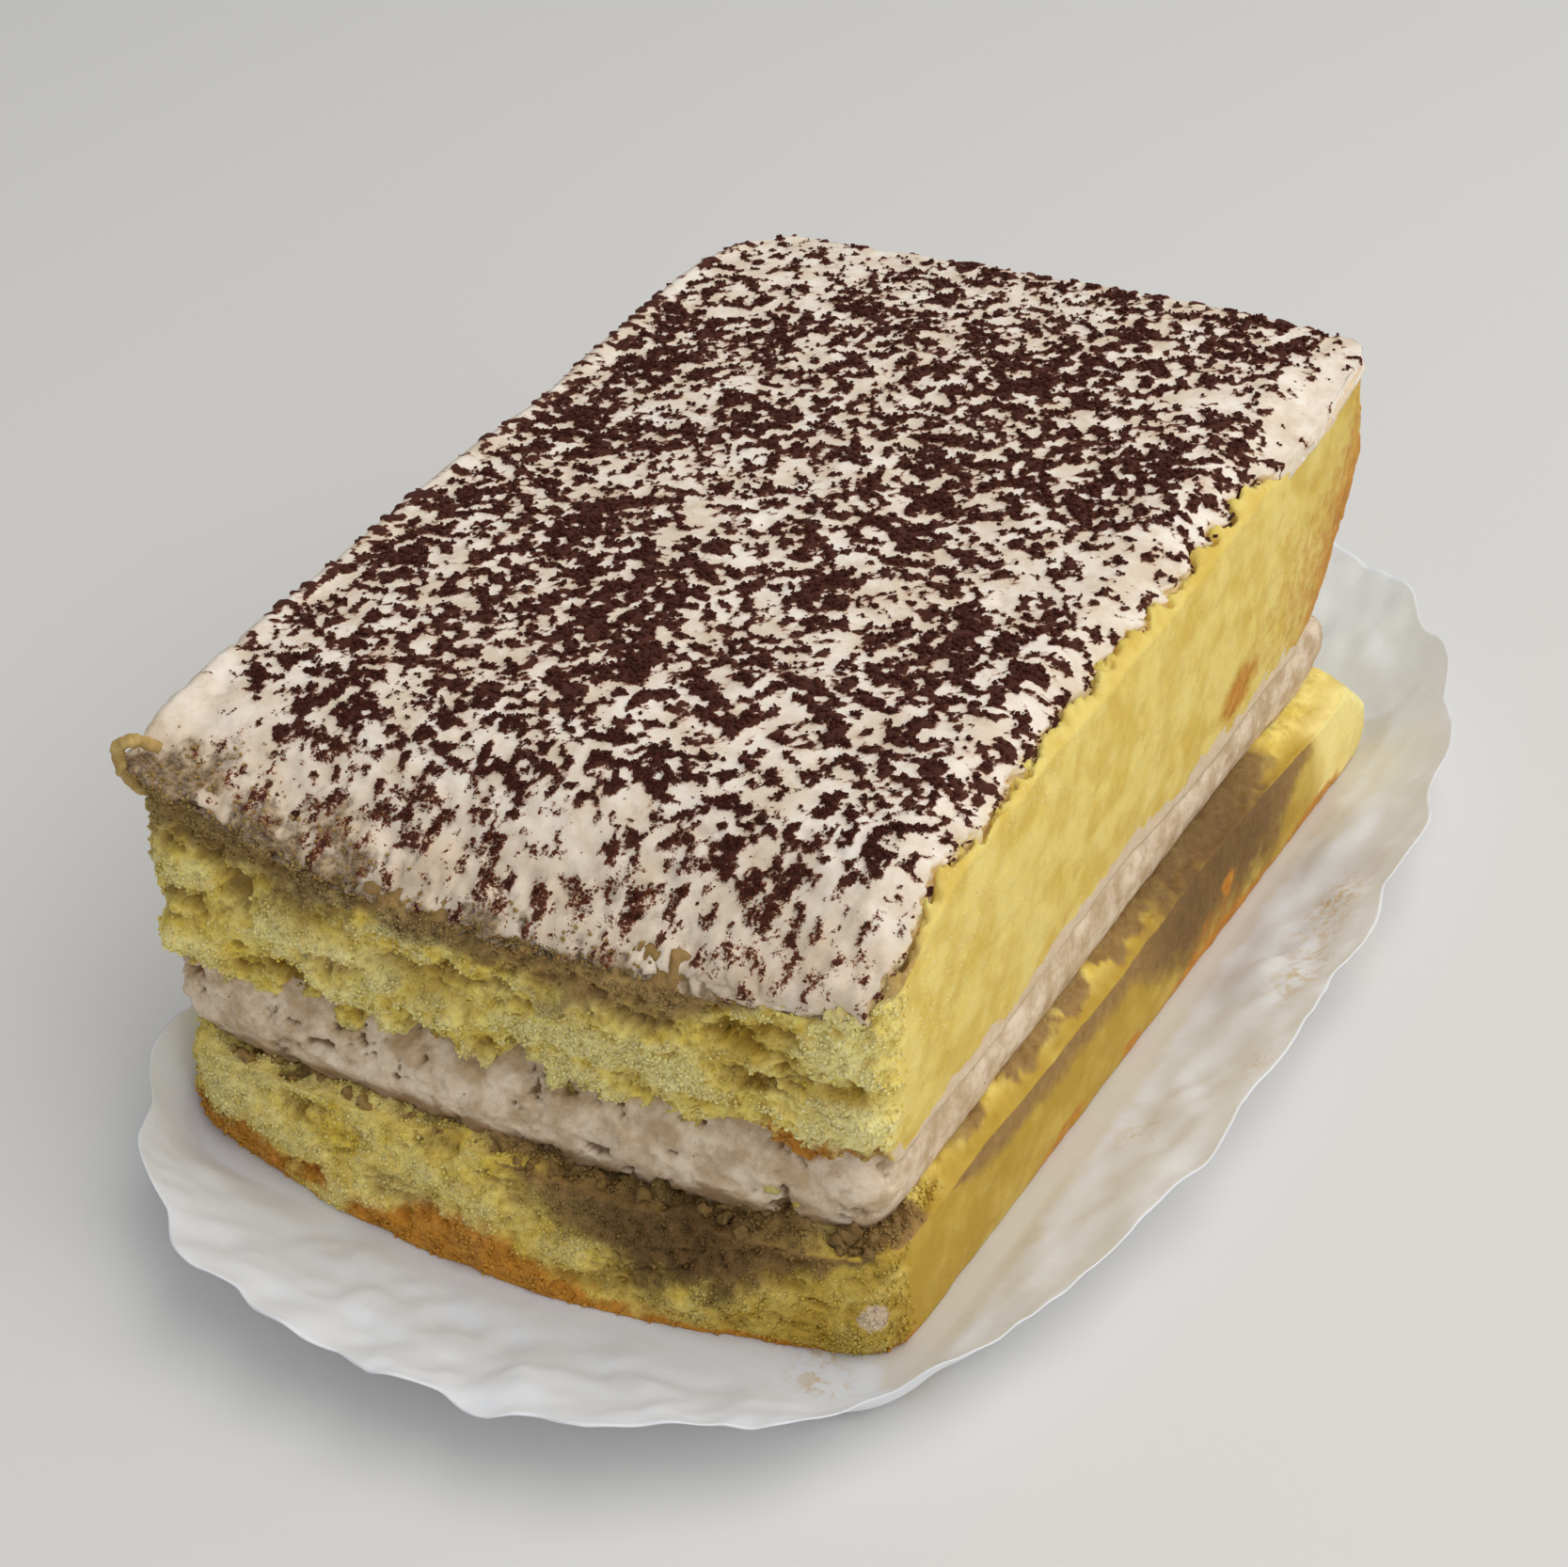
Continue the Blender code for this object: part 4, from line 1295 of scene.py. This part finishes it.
def crumbs_on_ledge(count, seed):
    """Lumps on the lower slab's shoulder, close under the cream: soaked, and darker right of the middle with
    painted shade.
    """
    rng = np.random.default_rng(seed)
    u, v = rng.uniform(-0.95, 0.95, count), rng.uniform(-0.995, -0.925, count)
    x, y = outline(u, v, **SHOULDER)
    sizes = 0.14 * MM + 0.5 * MM * rng.uniform(size=count) ** 2.5
    centres = np.stack([x, y, rounded_shoulder(x, y) + 0.1 * sizes], axis=-1)
    points, faces, each = rough_balls(centres, sizes, seed)
    dark = np.repeat(0.3 + 0.5 * smooth((u + 0.1) / 0.3), each)
    ones = np.ones(len(points))
    return points, faces, {"soak": ones, "dark": dark, "pale_and_painted_light": 0.0 * ones, "speck": 0.3 * ones, "rough": ones}


def joined(first, second):
    """Two sets of points, faces and masks as one."""
    points = np.concatenate([first[0], second[0]])
    faces = np.concatenate([first[1], second[1] + len(first[0])])
    return points, faces, {key: np.concatenate([first[2][key], second[2][key]]) for key in first[2]}


points, faces, masks = joined(crumbs_in_cream(110, 501), crumbs_on_ledge(150, 503))
lumps = make_piece("torn_crumb_lumps", points, [faces], sponge, masks)

# The loop's path outside the corner: sideways away from the cake, and up, in millimetres.
LOOP = np.array(
    [(-1.0, 1.4), (0.2, 2.2), (1.3, 2.2), (2.0, 1.3), (1.9, 0.1), (1.3, -1.0), (0.5, -1.9), (-0.8, -2.4)]
)
LOOP_RADIUS = 0.46 * MM
corner_x, corner_y = outline(np.array([-1.0]), np.array([-1.0]), **CUT_EDGE)
corner = np.array([corner_x[0], corner_y[0], upper_top(corner_x, corner_y)[0]])
sideways = np.array([-0.84, -0.54, 0.0])
path = corner + (LOOP[:, :1] * sideways + LOOP[:, 1:] * np.array([0.0, 0.0, 1.0])) * MM
points, quads, ends = tube(path, LOOP_RADIUS)
masks = {"soak": np.full(len(points), 0.75), "pale_and_painted_light": np.full(len(points), 0.4)}
strand = make_piece("torn_corner_loop", points, [quads, ends], sponge, masks)

# %% [markdown]
# ## The paper case
#
# A sheet of thin white paper pressed to a shallow oval dish. It lies flat under the cake, lifts
# in a curve, and its rim is cut in round scallops. Handling has left soft dents all over it.
# Cloth simulation could crease it, but a formula for the face gives even scallops with no wait.
# The same face is laid again one sheet lower and joined at the rim, so the paper has an edge.

# %% The paper's finish
paper, tree, sockets = new_material("baking_paper", 0.65, 0.5, (0.3, (1.0, 1.0, 1.0), 1.5 * MM))
fibres = noise(tree, 0.6 * MM, 4.0, 0.6, (3.0, 1.0, 1.0))
tint = blend_colour(tree, fibres, colour(232, 236, 244), colour(244, 247, 253))
greasy = plus(tree, mask(tree, "grease"), swing(tree, 4.0 * MM, 3.0, 0.6))
tint = blend_colour(tree, between(tree, greasy, 0.3, 0.8, 0.0, 0.6), tint, colour(216, 204, 176))
stained = times(tree, mask(tree, "smear"), between(tree, noise(tree, 1.1 * MM, 4.0, 0.7), 0.45, 0.62))
tint = blend_colour(tree, times(tree, stained, 0.75), tint, colour(206, 168, 96))
tree.links.new(tint, sockets["Base Color"])
relief(tree, sockets, 0.15, 0.1 * MM, fibres)

# %% The paper's surface
PAPER = 0.15 * MM
RIM_HALF = np.array([39.0 * MM, 60.35 * MM])
BASE_MARGIN = (1.6 * MM, 5.2 * MM)  # how far the flat base reaches past the cut block
RIM_POWER = 2.65
RIM_HEIGHT = 6.4 * MM
SCALLOPS = 30
SCALLOP_DEPTH = 1.1 * MM
BASE_POWER = 12.0


def oval_reach(x, y, half_x, half_y, power):
    """What a heading is multiplied by to land on the superellipse of those half axes."""
    return (abs(x / half_x) ** power + abs(y / half_y) ** power) ** (-1.0 / power)


def case_surface(angle, share):
    """The paper's upper face: from the edge of the flat base at share 0 to the scalloped rim at share 1.

    Each scallop is an arch, and noise round the rim makes some stand out more than others. Broad
    dents grow from the base outwards, and low pleats run out along the joints of the scallops.
    """
    x, y = RIM_HALF[0] * np.cos(angle), RIM_HALF[1] * np.sin(angle)
    length = np.hypot(x, y)
    base = oval_reach(x, y, HALF_WIDTH + BASE_MARGIN[0], HALF_LENGTH + BASE_MARGIN[1], BASE_POWER)
    rim = oval_reach(x, y, RIM_HALF[0], RIM_HALF[1], RIM_POWER)
    ring = in_plan(x, y)
    uneven = fractal(ring, 9.0 * MM, 2, 305)
    shifted = angle + 0.05 * fractal(ring, 14.0 * MM, 2, 307)
    arch = abs(np.sin(0.5 * SCALLOPS * shifted)) ** 1.4
    depth = SCALLOP_DEPTH * (0.75 + 0.6 * uneven)
    out = (depth * share**2 * (arch - 0.55) + 0.5 * MM * share * uneven) / length
    plan_x = (CUT_X + x * base) * (1.0 - share) + x * rim * share + x * out
    plan_y = (CUT_Y + y * base) * (1.0 - share) + y * rim * share + y * out
    height = RIM_HEIGHT * (1.0 + 0.08 * np.sin(2.0 * angle + 0.6)) * share**1.5
    flat = in_plan(plan_x, plan_y)
    grown = smooth(share * 2.5)
    dents = 0.8 * fractal(flat, 8.0 * MM, 2, 311) * (1.0 - 0.35 * share)
    dents = dents + 0.5 * fractal(flat, 3.4 * MM, 2, 313)
    height = height + 1.5 * MM * dents * grown
    height = height + 0.7 * MM * share**2 * (arch - 0.6)
    return np.stack([plan_x, plan_y, np.maximum(height, 0.0) + PAPER], axis=-1)


def make_case(around=900, rows=48):
    """The upper face from the middle to the rim, and the same face again, one sheet's thickness lower."""
    angle = np.arange(around) / around * 2.0 * math.pi
    inner = np.array([0.3, 0.7])[:, None, None]
    share = np.linspace(0.0, 1.0, rows)[:, None]
    sheet = case_surface(angle[None, :], share)
    middle = np.array([CUT_X, CUT_Y, PAPER])
    flat = middle + (sheet[0][None] - middle) * inner
    upper = np.concatenate([flat, sheet]).reshape(-1, 3)
    lower = upper - np.array([0.0, 0.0, PAPER])
    columns, rings = around, rows + 2
    points = np.concatenate([upper, lower, [middle, middle - np.array([0.0, 0.0, PAPER])]])
    count = len(upper)
    above = ring_faces(rings, columns)[:, ::-1]
    below = ring_faces(rings, columns, count)
    edge = np.arange(count - columns, count)
    rim = np.stack([edge, edge + count, np.roll(edge, -1) + count, np.roll(edge, -1)], axis=-1)
    loop = np.arange(columns)
    lids = np.concatenate([fan(loop, 2 * count), fan(loop + count, 2 * count + 1, flip=True)])
    return points, np.concatenate([above, below, rim]), lids


points, quads, lids = make_case()
margin = np.maximum(abs(points[:, 0] - CUT_X) - HALF_WIDTH, abs(points[:, 1] - CUT_Y) - HALF_LENGTH)
rightward = smooth((points[:, 0] - 10.0 * MM) / (18.0 * MM))
grease = smooth(1.0 - (margin - 0.5 * MM) / (4.5 * MM)) * (0.08 + 1.1 * rightward)
# Smears of crumb on the paper: the place and the reach both ways in millimetres, and the strength.
SMEARS = [
    (34.5, 12.0, 2.0, 4.5, 1.2),
    (35.5, 3.0, 2.0, 4.0, 1.0),
    (37.0, -9.0, 1.2, 1.6, 0.9),
    (31.0, -15.0, 1.5, 2.0, 0.7),
    (23.0, -45.0, 2.5, 0.8, 1.0),
]
smears = spots(points[:, 0] / MM, points[:, 1] / MM, SMEARS)
case = make_piece("paper_case_sheet", points, [quads, lids], paper, {"grease": grease, "smear": smears})
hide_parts("paper_case")

# %% [markdown]
# ## Floor, light and camera
#
# A plain pale floor, one broad light high on the right and behind, and a pale sky that fills the
# shadows, as by a big window.

# %% Floor
FLOOR_SIZE = 3.0
bpy.ops.mesh.primitive_plane_add(size=FLOOR_SIZE, location=(0.0, 0.0, 0.0))
floor = bpy.context.object
floor.name = "floor"
ground, tree, sockets = new_material("pale_floor", 0.7)
sockets["Base Color"].default_value = colour(224, 222, 218)
floor.data.materials.append(ground)


# %% Lights
def heading(azimuth, elevation):
    """The way from the cake to a heading, 0 in front and a quarter turn on its right, and a height."""
    flat = math.cos(elevation)
    return Vector((math.sin(azimuth) * flat, -math.cos(azimuth) * flat, math.sin(elevation)))


def soft_light(name, azimuth, elevation, distance, size, power, tone):
    """A square area light that faces the cake from a heading and a height in degrees."""
    lamp = bpy.data.lights.new(name, "AREA")
    lamp.size, lamp.energy, lamp.color = size, power, tone
    holder = bpy.data.objects.new(name, lamp)
    way = heading(math.radians(azimuth), math.radians(elevation))
    holder.location = way * distance
    holder.rotation_euler = way.to_track_quat("Z", "Y").to_euler()
    bpy.context.scene.collection.objects.link(holder)


soft_light("window", 110.0, 58.0, 0.65, 0.7, 2.7, (1.0, 0.98, 0.95))
soft_light("bounce", 55.0, 30.0, 0.7, 0.4, 0.75, (1.0, 1.0, 1.0))
world = bpy.data.worlds.new("room")
bpy.context.scene.world = world
world.use_nodes = True
sky = world.node_tree.nodes["Background"].inputs
sky["Color"].default_value = (0.96, 0.985, 1.03, 1.0)
sky["Strength"].default_value = 0.42
bpy.context.scene.view_settings.view_transform = "Standard"
print("lights:", [lamp.name for lamp in bpy.data.lights])

# %% Camera
AZIMUTH, ELEVATION, ROLL = math.radians(32.67), math.radians(34.37), math.radians(-4.33)
AIM_SHIFT = Vector((-2.8, -4.1, -4.8)) * MM  # from the middle of the whole to what the camera looks at
DISTANCE = 210.06 * MM
centre = (Vector(cad_box[0]) + Vector(cad_box[1])) / 2.0
target = centre + AIM_SHIFT
back = heading(AZIMUTH, ELEVATION)
level = Vector((math.cos(AZIMUTH), math.sin(AZIMUTH), 0.0))
upright = back.cross(level)
side = level * math.cos(ROLL) + upright * math.sin(ROLL)
up = upright * math.cos(ROLL) - level * math.sin(ROLL)
lens = bpy.data.cameras.new("camera")
lens.lens, lens.sensor_width = 64.8, 36.0
lens.clip_start, lens.clip_end = 0.01, 10.0
camera = bpy.data.objects.new("camera", lens)
turn = Matrix((side, up, back)).transposed().to_4x4()
camera.matrix_world = Matrix.Translation(target + back * DISTANCE) @ turn
bpy.context.scene.collection.objects.link(camera)
bpy.context.scene.camera = camera
print("camera at, mm:", [round(part / MM, 1) for part in camera.matrix_world.translation])

# %% Size of the whole frame
print("cad, mm:   ", np.round(np.array(cad_box) / MM, 1).tolist())
